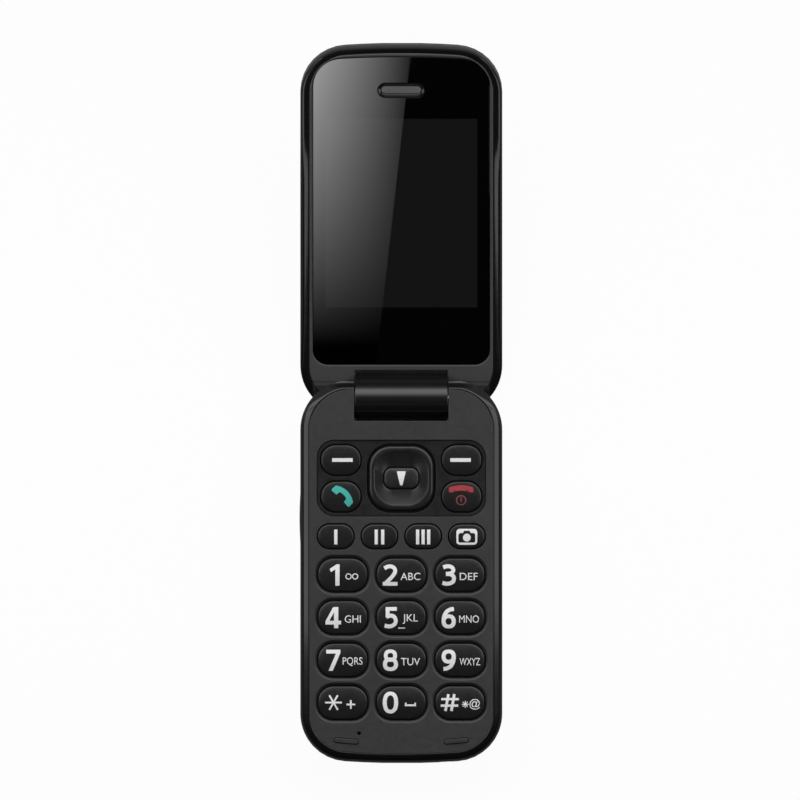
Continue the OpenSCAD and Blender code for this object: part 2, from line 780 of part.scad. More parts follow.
module centre_key() {
  color(keycap) translate([0, nav_y, 0]) {
    intersection() {
      translate([0, 0, pad_back + 0.35]) linear_extrude(pad_top - pad_back - 0.35)
        outline([centre_w, centre_h, 2], 0);
      translate([0, 0, pad_top - 0.1 - 30]) sphere(30, $fn = 96);
    }
    translate([0, 0, pad_back + 0.35]) linear_extrude(0.65) outline([centre_w, centre_h, 2], 0.6);
  }
}

module microphone() {
  color(steel) translate([mic_x, hinge_y - mic_d, board_top])
    cylinder(r = 2, h = plate_z - board_top);
}

speaker_w = 15;
speaker_l = 13;
speaker_rim = 1.25;
speaker_r = 3;

module loudspeaker() {
  color([0.15, 0.15, 0.16]) translate([0, speaker_y, wall]) difference() {
    linear_extrude(board_back - 1.6 - wall - 0.1) polygon(round_rect(speaker_w, speaker_l, speaker_r));
    translate([0, 0, -1]) linear_extrude(1.3) polygon(round_rect(speaker_w - 2*speaker_rim,
      speaker_l - 2*speaker_rim, speaker_r - speaker_rim));
  }
}

module vibration_motor() {
  color(steel) translate([0, speaker_y, wall + 1.6]) {
    bar_x(1.6, -18, -10);
    difference() {
      bar_x(1.5, -20.8, -18);
      block(-22, -17.9, -2, 0, 0.1, 2);
    }
  }
}

module charging_port() {
  color(steel) difference() {
    block(-3.75, 3.75, low_y + 0.7, low_y + 6.2, port_z - 1.35, port_z + 1.35);
    block(-3.45, 3.45, low_y, low_y + 5.6, port_z - 1.05, port_z + 1.05);
  }
  color(gold) block(-2.6, 2.6, low_y + 1.4, low_y + 5.8, port_z - 0.2, port_z + 0.3);
}

module headset_jack() {
  color([0.1, 0.1, 0.1]) translate([jack_x, low_y, port_z]) difference() {
    union() {
      block(-2.6, 2.6, 2.7, jack_depth + 1.5, -2.3, 2.2);
      translate([0, 0.8, 0]) rotate([-90, 0, 0]) cylinder(r = 2.45, h = 3);
    }
    rotate([-90, 0, 0]) cylinder(r = jack_r, h = jack_depth + 0.8);
  }
}

module rest_bumpers() {
  color([0.08, 0.08, 0.08]) translate([0, 0, face_z - bumper_depth])
    linear_extrude(bumper_depth + bumper_proud) at_bumpers()
      outline([bumper_w, bumper_h, bumper_h/2], -0.05);
}

module case_screws() {
  color(steel) for (p = screw_places) translate([p[0], p[1], 0]) difference() {
    union() {
      translate([0, 0, 1.3]) cylinder(r = screw_head_r, h = 1.2);
      translate([0, 0, 2]) cylinder(r = screw_r - 0.02, h = plate_z - 3.4);
    }
    translate([0, 0, 0]) cylinder(r = 0.6, h = 1.9, $fn = 6);
  }
}

// Shaft of the hinge cartridge, keyed into the right shoulder, with its cam
module hinge_shaft() {
  color(steel) hinge_frame() {
    bar_x(shaft_r, 2, notch_w/2 + 3.9);
    bar_x(shaft_r + 0.88, notch_w/2 + 0.05, notch_w/2 + 3.9);
    bar_x(sleeve_bore_r - run_gap, barrel_w/2 - 3.75, barrel_w/2 - 1.85);
  }
}

sleeve_r = 3.4;
sleeve_bore_r = 2.9;

module hinge_sleeve() {
  color(steel) hinge_frame() difference() {
    bar_x(sleeve_r, 0.5, barrel_w/2 - 0.05);
    bar_x(sleeve_bore_r, 1.5, barrel_w/2 - 1);
    bar_x(shaft_r + run_gap, 0, barrel_w/2 + 1);
  }
}

// Compression spring that presses the cams together, drawn as its tube
module hinge_spring() {
  color(steel) hinge_frame() difference() {
    bar_x(sleeve_bore_r - 0.1, 1.6, barrel_w/2 - 3.95);
    bar_x(shaft_r + 0.15, 1, barrel_w/2 - 3);
  }
}

// Hollow pin that carries the cable through the left shoulder
module hinge_pin() {
  color(steel) hinge_frame() difference() {
    bar_x(pin_r, -notch_w/2 - 3.9, -barrel_w/2 + 4);
    bar_x(pin_bore_r, -notch_w/2 - 5, 0);
  }
}

// Flat cable wound inside the barrel
module hinge_cable() {
  color([0.75, 0.45, 0.15]) hinge_frame() difference() {
    bar_x(pin_bore_r - 0.2, -notch_w/2 - 3.5, -1.2);
    bar_x(pin_bore_r - 0.5, -notch_w/2 - 5, 0);
  }
}

// Barrel of the lid with the neck that joins it to the lid
module hinge_barrel() {
  neck = [[0, 0], [4.3, 1.15], [4.6, 0], [4.82, -1.3], [5.02, -2.6], [5.2, -3.7], [5.5, -4.6],
    [5.95, -5.1], [neck_s, -lid_face - neck_drop],
    [neck_s, -lid_outer(neck_s) + lid_wall + 0.02], [-2, -lid_outer(-2) + lid_wall + 0.02],
    [-2, -3]];
  color(gloss) lid_frame() difference() {
    union() {
      bar_x(barrel_r, -barrel_w/2, barrel_w/2);
      along_x(barrel_w) polygon(neck);
    }
    bar_x(sleeve_r + 0.01, 0.5, barrel_w/2 + 1);
    bar_x(pin_r + run_gap, -barrel_w/2 - 1, 0);
  }
}

// Glossy rim of the lid
module lid_rim() {
  color(gloss) lid_frame() difference() {
    ring_loft([
      lid_ring(lid_plan(0, 0, 0), lid_split),
      lid_ring(lid_plan(0, 0, 0), 0.24),
      lid_ring(lid_plan(0.15, 0.1, 0.15), 0.17),
      lid_ring(lid_plan(0.6, 0.35, 0.6), 0.09),
      lid_ring(lid_plan(1.4, 0.85, 1.4), 0.03),
      lid_ring(lid_plan(rim_w, lid_rim_top_w, rim_w), 0)]);
    slab(lid_plan(rim_w, lid_rim_top_w, rim_w), -far, 0);
    slab(lid_plan(wall, wall, wall), -far, -lid_face - plate_t);
    lip_clearance();
  }
}

module lip_clearance() {
  along_x(far) circle(lip_r);
}

// Matte inner cover with the pocket for the glass
module lid_inner_cover() {
  back = -lid_face - plate_t;
  color(matte) lid_frame() difference() {
    union() {
      intersection() {
        slab(lid_plan(rim_w, lid_rim_top_w, rim_w), back, -lid_face);
        block(-half_w, half_w, lip_end, far, back - 1, 0);
      }
      intersection() {
        slab(lid_plan(wall + 0.05, wall + 0.05, wall), back - 0.6, back);
        block(-half_w, half_w, neck_s, far, back - 1, 0);
        difference() {
          slab(lid_plan(0, 0, 0), back - 1, 0);
          slab(lid_plan(rim_w + 0.6, lid_rim_top_w + 0.6, rim_w + 0.6), back - 2, back);
        }
      }
    }
    slab(glass_plan(0.05), -glass_back - 0.02, 0);
    translate([0, display_d, -far]) linear_extrude(far)
      polygon(round_rect(display_w + 0.3, display_l + 0.3, 1));
    translate([0, earpiece_d, -far]) linear_extrude(far)
      polygon(round_rect(earpiece_w - 2, earpiece_h - 1, 1.4));
    block(-barrel_w/2 - 0.05, barrel_w/2 + 0.05, 0, neck_s + 0.02, -far, far);
  }
}

function glass_plan(grow) = mirror_plan(half_plan(glass_w/2 + grow, glass_low - grow,
  glass_high + grow, glass_low_r + grow, glass_top_r + grow, 0, end_bow, 6));

module display_window() {
  color([0.03, 0.03, 0.035]) lid_frame() difference() {
    slab(glass_plan(0), -glass_back, -lid_face - glass_drop);
    translate([0, earpiece_d, -far]) linear_extrude(far)
      polygon(round_rect(earpiece_w, earpiece_h, earpiece_h/2 - 0.01));
  }
}

module display_panel() {
  color([0.1, 0.1, 0.1]) lid_frame() translate([0, display_d, -glass_back - 0.05 - display_t])
    linear_extrude(display_t) polygon(round_rect(display_w, display_l, 0.8));
}

module earpiece_mesh() {
  color([0.4, 0.4, 0.42]) lid_frame() translate([0, earpiece_d, 0]) {
    difference() {
      slab(round_rect(earpiece_w - 0.1, earpiece_h - 0.1, earpiece_h/2 - 0.06),
        -glass_back, -glass_back + 0.4);
      for (i = [-4:4]) translate([i, 0, -far]) linear_extrude(2*far) square([0.45, 1.1], center = true);
    }
  }
}

module receiver() {
  color([0.15, 0.15, 0.16]) lid_frame()
    slab(move_plan(round_rect(12, 7, 2), [0, earpiece_d]), -lid_board_face, -lid_face - plate_t - 0.02);
}

function move_plan(points, by) = [for (p = points) p + by];

module lid_board() {
  color(green) lid_frame() {
    slab(round_plan_between(18, lid_reach - 4.5, half_w - 4, 4), -lid_board_face - lid_board_t,
      -lid_board_face);
    slab(move_plan(round_rect(outer_glass_w - 3, outer_glass_h - 3, 1), [0, outer_glass_d]),
      -lid_back + 1.6, -lid_board_face - lid_board_t);
  }
}

function round_plan_between(y0, y1, hw, r) = move_plan(round_rect(2*hw, y1 - y0, r), [0, (y0 + y1)/2]);

// Outer cover: tapered towards the hinge and rounded along its edges
module lid_outer_cover() {
  lip = [[-3.4, 0], [lip_end, 0], [lip_end, -lid_outer(lip_end) + 0.5], [-3.4, -lid_outer(-3.4) + 0.5]];
  color(matte) lid_frame() difference() {
    union() {
      difference() {
        ring_loft([
          lid_ring(lid_plan(2.8, 2.8, 1.2), 1),
          lid_ring(lid_plan(1.5, 1.5, 0.6), 0.965),
          lid_ring(lid_plan(0.6, 0.6, 0.25), 0.88),
          lid_ring(lid_plan(0.1, 0.1, 0.05), 0.74),
          lid_ring(lid_plan(0, 0, 0), 0.6),
          lid_ring(lid_plan(0, 0, 0), lid_split)]);
        intersection() {
          slab(lid_plan(wall, wall, wall), -lid_back + lid_wall, 0);
          along_x(far) polygon(concat([[lip_end, 0], [far, 0], [far, -lid_back + lid_wall]],
            [for (k = [1:-0.5:-1]) let (s = taper_end + k*taper_blend/taper_rise)
              [s, -lid_outer(s) + lid_wall]], [[lip_end, -lid_outer(lip_end) + lid_wall]]));
        }
      }
      intersection() {
        slab(lid_plan(rim_w, lid_rim_top_w, rim_w), -lid_back, -lid_face);
        along_x(far) polygon(lip);
      }
    }
    along_x(barrel_w + 0.1) polygon([[-2.05, 0], [neck_s + 0.05, 0],
      [neck_s + 0.05, -lid_outer(neck_s + 0.05) + lid_wall], [-2.05, -lid_outer(-2.05) + lid_wall]]);
    translate([0, outer_glass_d, -lid_back - 1]) linear_extrude(1.9)
      polygon(round_rect(outer_glass_w + 0.1, outer_glass_h + 0.1, 3));
    translate([0, outer_glass_d, -lid_back - 1]) linear_extrude(4)
      polygon(round_rect(outer_glass_w - 3, outer_glass_h - 3, 2));
    translate([0, camera_d, -lid_back - 1]) cylinder(r = camera_r + 0.05, h = 1.7);
    translate([0, camera_d, -lid_back - 1]) cylinder(r = camera_r - 0.8, h = 5);
    lip_clearance();
  }
}

module outer_window() {
  color([0.03, 0.03, 0.035]) lid_frame() translate([0, outer_glass_d, -lid_back])
    linear_extrude(0.9) polygon(round_rect(outer_glass_w, outer_glass_h, 2.95));
}

module camera_lens() {
  color([0.05, 0.05, 0.06]) lid_frame() translate([0, camera_d, -lid_back])
    cylinder(r = camera_r, h = 0.7);
}

module camera_module() {
  color([0.15, 0.15, 0.16]) lid_frame() translate([0, camera_d, 0]) {
    block(-4.2, 4.2, -4.2, 4.2, -lid_back + lid_wall + 0.1, -lid_board_face - lid_board_t);
    translate([0, 0, -lid_back + 0.75]) cylinder(r = camera_r - 0.9, h = 0.6);
  }
}

base_front_cover();
base_rim();
base_rear_housing();
nav_panel();
key_mat();
dome_sheet();
main_board();
shield_can();
sim_holder();
battery_contacts();
battery_pack();
microphone();
loudspeaker();
vibration_motor();
charging_port();
headset_jack();
rest_bumpers();
case_screws();
hinge_shaft();
hinge_pin();
battery_cover();
volume_key();
nav_web();
nav_pad();
centre_key();
for (i = [0:11]) number_key(i);
for (i = [0:3]) quick_key(i);
for (i = [0:3]) side_key(i);
lid_inner_cover();
lid_rim();
lid_outer_cover();
display_window();
display_panel();
earpiece_mesh();
receiver();
lid_board();
hinge_barrel();
hinge_sleeve();
hinge_spring();
camera_module();
camera_lens();
outer_window();
hinge_cable();
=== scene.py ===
"""Looks of a clamshell phone: casings, keypad, legends, hinge and lid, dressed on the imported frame."""
import bpy
import bmesh
import json
import math
from mathutils import Matrix, Vector


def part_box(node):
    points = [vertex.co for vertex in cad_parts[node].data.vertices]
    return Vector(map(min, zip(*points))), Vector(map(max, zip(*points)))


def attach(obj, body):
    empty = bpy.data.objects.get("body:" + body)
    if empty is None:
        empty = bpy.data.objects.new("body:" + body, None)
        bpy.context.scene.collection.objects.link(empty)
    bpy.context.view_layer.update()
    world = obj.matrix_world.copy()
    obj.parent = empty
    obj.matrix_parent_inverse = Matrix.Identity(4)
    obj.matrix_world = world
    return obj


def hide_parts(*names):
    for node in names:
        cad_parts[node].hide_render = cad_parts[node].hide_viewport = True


bl_info = {
    "name": "Clamshell phone",
    "version": (1, 0, 0),
    "blender": (4, 5, 0),
    "location": "View3D > Sidebar > Phone",
    "description": "Models and finishes a clamshell phone on its packed frame",
    "category": "Object",
}

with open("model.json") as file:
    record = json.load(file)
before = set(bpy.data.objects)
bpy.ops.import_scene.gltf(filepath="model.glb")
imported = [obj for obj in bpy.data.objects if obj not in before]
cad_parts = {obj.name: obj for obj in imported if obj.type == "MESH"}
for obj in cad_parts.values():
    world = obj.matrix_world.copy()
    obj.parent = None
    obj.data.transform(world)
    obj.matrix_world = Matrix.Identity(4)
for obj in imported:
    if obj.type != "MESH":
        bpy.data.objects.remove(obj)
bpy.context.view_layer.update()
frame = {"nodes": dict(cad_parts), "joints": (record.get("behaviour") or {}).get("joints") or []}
MM = 0.001


def box_mm(node):
    low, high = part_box(node)
    return low / MM, high / MM


# Places that the frame gives, in millimetres
BASE_LOW, BASE_HIGH = box_mm("base_rim")
BODY_W = BASE_HIGH.x - BASE_LOW.x
LOW_Y, HIGH_Y = BASE_LOW.y, BASE_HIGH.y
FACE_Z = BASE_HIGH.z
SPLIT_Z = BASE_LOW.z
LID_HINGE = next(j for j in frame["joints"] if j["name"] == "lid_hinge")
HINGE_Y, HINGE_Z = LID_HINGE["pos_m"][1] / MM, LID_HINGE["pos_m"][2] / MM
TILT = math.radians(180) - math.radians(LID_HINGE["range_deg"][1])
SHOULDER_R = HIGH_Y - HINGE_Y
NAV_LOW, NAV_HIGH = box_mm("nav_pad")
NAV_Y, PAD_TOP = (NAV_LOW.y + NAV_HIGH.y) / 2, NAV_HIGH.z

# Sizes of the housings, in millimetres
PLATE_T, WALL = 1.3, 1.3
RIM_W, LID_TOP_RIM = 2.4, 1.5
CORNER_HINGE, CORNER_FREE, BOW = 13.0, 12.5, 0.45
NOTCH_HALF, NOTCH_REACH = 12.4, 5.5
BARREL_HALF, BARREL_R = 12.24, 4.45
REST_X, REST_Y, REST_TURN = 14.4, HINGE_Y - 89.5, 5
SOCKET_Z, JACK_X = 5.05, 11.6

# Sizes of the lid, which is drawn flat from the hinge axis: depths of its faces, and its far end
LID_FACE, LID_BACK, LID_END = 4.85, 12.05, 94.7

# Heights of the glass, half size and middle of the field over the display, and place of the earpiece
GLASS_FACE, GLASS_BACK = -4.95, -5.75
SCREEN_HALF_W, SCREEN_HALF_H, SCREEN_Y = 19.97, 25.75, 49.6
EARPIECE_Y = 83.1

# Sizes of the keys and radii of their crowns, across and along
KEY_TOP = 0.45
KEY_FLANGE = 1.2
NUMBER_R, QUICK_R, SIDE_R = 4.0, 3.1, 3.8
KEY_CROWN, CENTRE_CROWN = (60.0, 18.0), (26.0, 12.0)
CENTRE_HOLE = (9.7, 6.0)
NUMBER_KEYS = ["key_%d" % k for k in range(1, 10)] + ["key_star", "key_0", "key_hash"]
QUICK_KEYS = ["quick_key_1", "quick_key_2", "quick_key_3", "camera_key"]
SIDE_KEYS = ["left_soft_key", "right_soft_key", "call_key", "end_key"]


# Outlines in plan, in millimetres

def arc(cx, cy, r, a0, a1, n):
    angles = [math.radians(a0 + (a1 - a0) * i / n) for i in range(n + 1)]
    return [(cx + r * math.cos(a), cy + r * math.sin(a)) for a in angles]


def round_rect(w, h, r, n=10, at=(0, 0)):
    x, y = w / 2 - r, h / 2 - r
    points = (arc(x, -y, r, -90, 0, n) + arc(x, y, r, 0, 90, n)
              + arc(-x, y, r, 90, 180, n) + arc(-x, -y, r, 180, 270, n))
    kept = [p for i, p in enumerate(points) if math.dist(p, points[i - 1]) > 1e-4]
    return [(x + at[0], y + at[1]) for x, y in kept]


def low_half(hw, y, r, bow):
    """Right half of a bowed end with its corner, from the middle line to the straight side."""
    xc = hw - r
    slope = -90 + math.degrees(math.atan(2 * bow / xc))
    xt = xc + r * math.cos(math.radians(slope))
    yc = y + bow * (xt / xc) ** 2 - r * math.sin(math.radians(slope))
    end_steps, corner_steps = 6, 18
    end = [(xt * k / end_steps, y + bow * (xt * k / end_steps / xc) ** 2) for k in range(1, end_steps)]
    return end + arc(xc, yc, r, slope, 0, corner_steps)


def half_plan(hw, y0, y1, r0, r1, bow0, bow1, mids=14):
    """Right half of an outline with two bowed ends, from its low to its high end."""
    low = low_half(hw, y0, r0, bow0)
    high = [(x, -y) for x, y in reversed(low_half(hw, -y1, r1, bow1))]
    a, b = low[-1][1], high[0][1]
    return low + [(hw, a + (b - a) * k / mids) for k in range(1, mids)] + high


def base_half(inset):
    return half_plan(BODY_W / 2 - inset, LOW_Y + inset, HIGH_Y - inset, CORNER_FREE - inset,
                     CORNER_HINGE - inset, BOW, 0.0)


def notched_half(inset):
    """Right half of the base's outline, without the end in front of the lid."""
    reach = HIGH_Y - inset
    right = [p for p in base_half(inset) if p[1] < reach - 0.01 or p[0] >= CORNER_HINGE + 0.4]
    return right + [(NOTCH_HALF, reach)]


def lid_half(side, top, low):
    return half_plan(BODY_W / 2 - side, -SHOULDER_R + low, LID_END - top, CORNER_HINGE - side,
                     CORNER_FREE - side, 0.0, BOW, mids=24)


def both_halves(right):
    return right + [(-x, y) for x, y in reversed(right)]


def turned(points, angle, at):
    c, s = math.cos(math.radians(angle)), math.sin(math.radians(angle))
    return [(x * c - y * s + at[0], x * s + y * c + at[1]) for x, y in points]


def mirrored(sections):
    """Sections of the left half, in the order that goes on round the piece."""
    return [[(-x, y, z) for x, y, z in section] for section in reversed(sections)]


def on_middle(section):
    return [(0, y, z) for _, y, z in section]


# Modelling helpers

def shift(x, y, z=0.0):
    return Matrix.Translation(Vector((x, y, z)) * MM)


def lid_matrix():
    """Turns what is drawn flat, with Y along the lid from the hinge axis, into the open lid's place."""
    return shift(0, HINGE_Y, HINGE_Z) @ Matrix.Rotation(TILT, 4, "X")


def deselect():
    if bpy.context.mode != "OBJECT":
        bpy.ops.object.mode_set(mode="OBJECT")
    bpy.ops.object.select_all(action="DESELECT")


def pick(obj):
    deselect()
    obj.select_set(True)
    bpy.context.view_layer.objects.active = obj


def settle(obj, matrix=None):
    """Puts the object's place into its mesh."""
    obj.data.transform((matrix or Matrix.Identity(4)) @ obj.matrix_basis)
    obj.matrix_basis = Matrix.Identity(4)
    obj.data.update()
    return obj


def into_lid(obj):
    return settle(obj, lid_matrix())


def linked(obj):
    bpy.context.scene.collection.objects.link(obj)
    return obj


def copied(obj):
    """Copy with its own mesh."""
    made = obj.copy()
    made.data = obj.data.copy()
    return linked(made)


def modified(obj, kind, **settings):
    """Gives a piece a modifier, and applies it."""
    pick(obj)
    modifier = obj.modifiers.new(kind.lower(), kind)
    for key, value in settings.items():
        setattr(modifier, key, value)
    bpy.ops.object.modifier_apply(modifier=modifier.name)
    return obj


def united(objs):
    """Joins several meshes into one."""
    deselect()
    for o in objs:
        o.select_set(True)
    bpy.context.view_layer.objects.active = objs[0]
    bpy.ops.object.join()
    return bpy.context.object


def edit_all(obj, mode="VERT"):
    """Opens a mesh for editing, with all of it selected."""
    pick(obj)
    bpy.ops.object.mode_set(mode="EDIT")
    bpy.ops.mesh.select_mode(type=mode)
    bpy.ops.mesh.select_all(action="SELECT")


def outward(obj, merge=0.000002, caps=False, flats=0.0):
    """Merges doubles, closes holes or joins flats if asked to, and turns every face outwards."""
    edit_all(obj)
    bpy.ops.mesh.remove_doubles(threshold=merge)
    bpy.ops.mesh.select_all(action="SELECT")
    if caps:
        bpy.ops.mesh.fill_holes(sides=0)
        bpy.ops.mesh.select_all(action="SELECT")
    if flats:
        bpy.ops.mesh.dissolve_limited(angle_limit=math.radians(flats))
        bpy.ops.mesh.select_all(action="SELECT")
    bpy.ops.mesh.normals_make_consistent(inside=False)
    bpy.ops.object.mode_set(mode="OBJECT")
    return obj


def filled_curve(loops, unit):
    """Flat curve that is filled between its loops."""
    curve = bpy.data.curves.new("outline", "CURVE")
    curve.dimensions = "2D"
    curve.fill_mode = "BOTH"
    for loop in loops:
        spline = curve.splines.new("POLY")
        spline.points.add(len(loop) - 1)
        for p, (x, y) in zip(spline.points, loop):
            p.co = (x * unit, y * unit, 0, 1)
        spline.use_cyclic_u = True
    return curve


def as_mesh(curve):
    pick(linked(bpy.data.objects.new("outline", curve)))
    bpy.ops.object.convert(target="MESH")
    return bpy.context.object


def drawn_in(points, by):
    """Outline moved inwards by an even width."""
    moved = []
    for i, (x, y) in enumerate(points):
        before, after = points[i - 1], points[(i + 1) % len(points)]
        u = Vector((x - before[0], y - before[1])).normalized()
        v = Vector((after[0] - x, after[1] - y)).normalized()
        m = Vector((u.y + v.y, -u.x - v.x))
        m = m / max(0.3, m.length_squared / 2)
        moved.append((x - m.x * by, y - m.y * by))
    return moved


def plate(outer, holes, z0, z1, lip):
    """Flat plate with rounded edges and holes, filled from its outlines. Its walls stand on the outlines."""
    curve = filled_curve([drawn_in(outer, lip)] + [drawn_in(hole, -lip) for hole in holes], MM)
    curve.bevel_depth = lip * MM
    curve.bevel_resolution = 3
    curve.extrude = ((z1 - z0) / 2 - lip) * MM
    obj = as_mesh(curve)
    obj.location.z = (z0 + z1) / 2 * MM
    return outward(settle(obj))


def drape(sections, caps=True):
    """Skin over a row of closed sections of equal length: a grid is added and laid on them."""
    deselect()
    bpy.ops.mesh.primitive_grid_add(x_subdivisions=len(sections[0]), y_subdivisions=len(sections) - 1, size=1)
    obj = bpy.context.object
    flat = []
    for section in sections:
        for p in [*section, section[0]]:
            flat += [c * MM for c in p]
    obj.data.vertices.foreach_set("co", flat)
    obj.matrix_basis = Matrix.Identity(4)
    obj.data.update()
    return outward(obj, 0.000001, caps=caps)


def top_faces(obj, z):
    """Selects the faces of the edited mesh that look up at or above a height."""
    bm = bmesh.from_edit_mesh(obj.data)
    for f in bm.faces:
        f.select_set(False)
    for f in bm.faces:
        if f.normal.z > 0.9 and f.calc_center_median().z > z - 1e-6:
            f.select_set(True)
    bmesh.update_edit_mesh(obj.data)


def crown_fall(x, y, crown):
    """How far a crowned face has dropped at a place, with its own radius across and along."""
    across, along = crown
    return x * x / (2 * across) + y * y / (2 * along)


def button(w, h, r, z0, z1, edge, crown=None, rings=6, segments=8):
    """Moulded button: a rounded plane is drawn up, its top edge rounded, its face stepped in and crowned."""
    crowned_band = 0.6
    deselect()
    bpy.ops.mesh.primitive_plane_add(size=1, location=(0, 0, z0 * MM))
    obj = bpy.context.object
    obj.scale = (w * MM, h * MM, 1)
    bpy.ops.object.transform_apply(location=True, rotation=True, scale=True)
    edit_all(obj)
    bpy.ops.mesh.bevel(offset=r * MM, segments=segments, affect="VERTICES")
    bpy.ops.mesh.select_mode(type="FACE")
    bpy.ops.mesh.select_all(action="SELECT")
    bpy.ops.mesh.extrude_region_move(TRANSFORM_OT_translate={"value": (0, 0, (z1 - z0) * MM)})
    bpy.ops.mesh.bevel(offset=edge * MM, segments=4, affect="EDGES")
    top_faces(obj, z1 * MM)
    for k in range(rings):
        step = (rings - k) / (rings + 1 - k)
        bpy.ops.mesh.extrude_region_move(TRANSFORM_OT_translate={"value": (0, 0, 0)})
        bpy.ops.transform.resize(value=(step, step, 1), center_override=(0, 0, z1 * MM))
    if rings:
        bpy.ops.mesh.poke()
    bpy.ops.object.mode_set(mode="OBJECT")
    if crown:
        for v in obj.data.vertices:
            if v.co.z > (z1 - crowned_band) * MM:
                v.co.z -= crown_fall(v.co.x / MM, v.co.y / MM, crown) * MM
    return outward(obj)


def cut_away(obj, cutter):
    """Takes a cutter's shape out of a piece and removes the cutter."""
    modified(obj, "BOOLEAN", operation="DIFFERENCE", solver="EXACT", object=cutter)
    bpy.data.objects.remove(cutter)
    return obj


def cutter_block(w, d, h, r, at, turn=None):
    """Rounded block that cuts an opening, its corners rounded in the plane across its height."""
    obj = button(w, d, r, -h / 2, h / 2, edge=0.01, rings=0, segments=6)
    return settle(obj, shift(*at) @ (turn or Matrix.Identity(4)))


def polished(node, edge, segments=2, angle=40):
    """Copy of a frame node with its doubles merged, its flats joined and its edges rounded."""
    obj = copied(frame["nodes"][node])
    for key in [k for k in obj.keys() if k.startswith("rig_")]:
        del obj[key]
    obj.parent = None
    obj.matrix_basis = Matrix.Identity(4)
    obj.hide_render = obj.hide_viewport = False
    outward(obj, flats=0.5)
    return modified(obj, "BEVEL", width=edge * MM, segments=segments, limit_method="ANGLE",
                    angle_limit=math.radians(angle), use_clamp_overlap=True)


def fit_out(obj, name, body, finish, nodes=(), angle=35):
    """Names a finished piece, shades it, gives it its finish and puts it on its body."""
    obj.name = name
    obj.data.name = name
    obj.data.materials.clear()
    obj.data.materials.append(FINISH[finish])
    pick(obj)
    bpy.ops.object.shade_smooth_by_angle(angle=math.radians(angle))
    modified(obj, "WEIGHTED_NORMAL", keep_sharp=True)
    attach(obj, body)
    if nodes:
        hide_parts(*nodes)


# Finishes

GLASS_IOR = 1.52


def feed(node, inputs):
    """Gives a node's inputs their values, or links them to the outputs that are given."""
    for key, value in inputs.items():
        if isinstance(value, bpy.types.NodeSocket):
            node.id_data.links.new(value, node.inputs[key])
        else:
            node.inputs[key].default_value = value


def add(tree, kind, inputs=None, place=(0, 0), **settings):
    node = tree.nodes.new("ShaderNode" + kind)
    node.location = place
    for key, value in settings.items():
        setattr(node, key, value)
    feed(node, inputs or {})
    return node


def ramped(source, span, ends=(0.0, 1.0), place=(0, 0), curve="LINEAR"):
    """Value that goes from one end to the other while its source goes over a span."""
    node = add(source.id_data, "MapRange", {
        "From Min": span[0], "From Max": span[1], "To Min": ends[0], "To Max": ends[1], "Value": source},
        place, interpolation_type=curve)
    return node.outputs["Result"]


def combined(operation, *values, place=(0, 0)):
    """Result of a sum on outputs and numbers, of which the first is an output."""
    return add(values[0].id_data, "Math", dict(enumerate(values)), place, operation=operation).outputs[0]


def blended(share, first, second, place):
    """Colour between two others."""
    inputs = {"Factor": share, "A": first, "B": second}
    return add(share.id_data, "Mix", inputs, place, data_type="RGBA").outputs["Result"]


def noise(vector, scale, detail, place, **inputs):
    inputs.update(Scale=scale, Detail=detail, Vector=vector)
    return add(vector.id_data, "TexNoise", inputs, place).outputs["Fac"]


def lifted(shader, height, depth, strength):
    """Lets a height in millimetres lift the surface."""
    bump = add(shader.id_data, "Bump", {"Strength": strength, "Distance": depth * MM, "Height": height},
               (-300, -250))
    feed(shader, {"Normal": bump.outputs["Normal"]})


def two_tones(source, low, high, place, positions=(0.0, 1.0)):
    """Colour that changes from low to high with its source."""
    ramp = add(source.id_data, "ValToRGB", {"Fac": source}, place)
    for element, position, colour in zip(ramp.color_ramp.elements, positions, (low, high)):
        element.position = position
        element.color = (*colour, 1)
    return ramp.outputs["Color"]


def tinted(colour, factor):
    return [min(1, c * factor) for c in colour]


def new_material(name):
    """New material and its shader, which also leads to its node tree."""
    mat = bpy.data.materials.new(name)
    mat.use_nodes = True
    return mat, mat.node_tree.nodes["Principled BSDF"]


def grain(shader, scale, depth, rough, share=1.0):
    """Fine moulded grain: noise on the object's own coordinates lifts the surface and varies its shine."""
    place = add(shader.id_data, "TexCoord", place=(-1100, 0)).outputs["Object"]
    lifted(shader, noise(place, scale, 3.0, (-850, 100), Roughness=0.6), depth, share)
    wide = noise(place, scale / 14, 4.0, (-850, 400))
    feed(shader, {"Roughness": ramped(wide, (0.4, 0.6), rough, (-500, 150))})
    return place


def shade_colour(shader, place, low, high, scale):
    """Slow change between two close colours over the surface."""
    tone = two_tones(noise(place, scale, 2.0, (-850, 700)), low, high, (-550, 650), (0.35, 0.65))
    feed(shader, {"Base Color": tone})
    return tone


def edge_wear(shader, tone, amount):
    """Edges rubbed a little paler, found from the pointiness of the mesh."""
    shape = add(shader.id_data, "NewGeometry", place=(-1100, 950))
    worn = ramped(shape.outputs["Pointiness"], (0.53, 0.6), (0.0, amount), (-850, 950))
    feed(shader, {"Base Color": blended(worn, tone, (0.16, 0.16, 0.165, 1), (-250, 650))})


def matte_casing(colour):
    """Soft-touch moulded casing: fine spark-eroded grain, even roughness, faintly rubbed edges."""
    mat, shader = new_material("matte_casing")
    place = grain(shader, 9000, 0.012, (0.46, 0.56))
    edge_wear(shader, shade_colour(shader, place, tinted(colour, 0.93), tinted(colour, 1.05), 60), 0.25)
    feed(shader, {"Specular IOR Level": 0.5})
    return mat


def gloss_casing(colour):
    """Polished black moulding under a clear coat, with faint handling haze."""
    mat, shader = new_material("gloss_casing")
    place = grain(shader, 400, 0.004, (0.13, 0.2), 0.6)
    shade_colour(shader, place, tinted(colour, 0.9), tinted(colour, 1.1), 90)
    feed(shader, {"Coat Weight": 0.15, "Coat Roughness": 0.08, "Specular IOR Level": 0.45})
    return mat


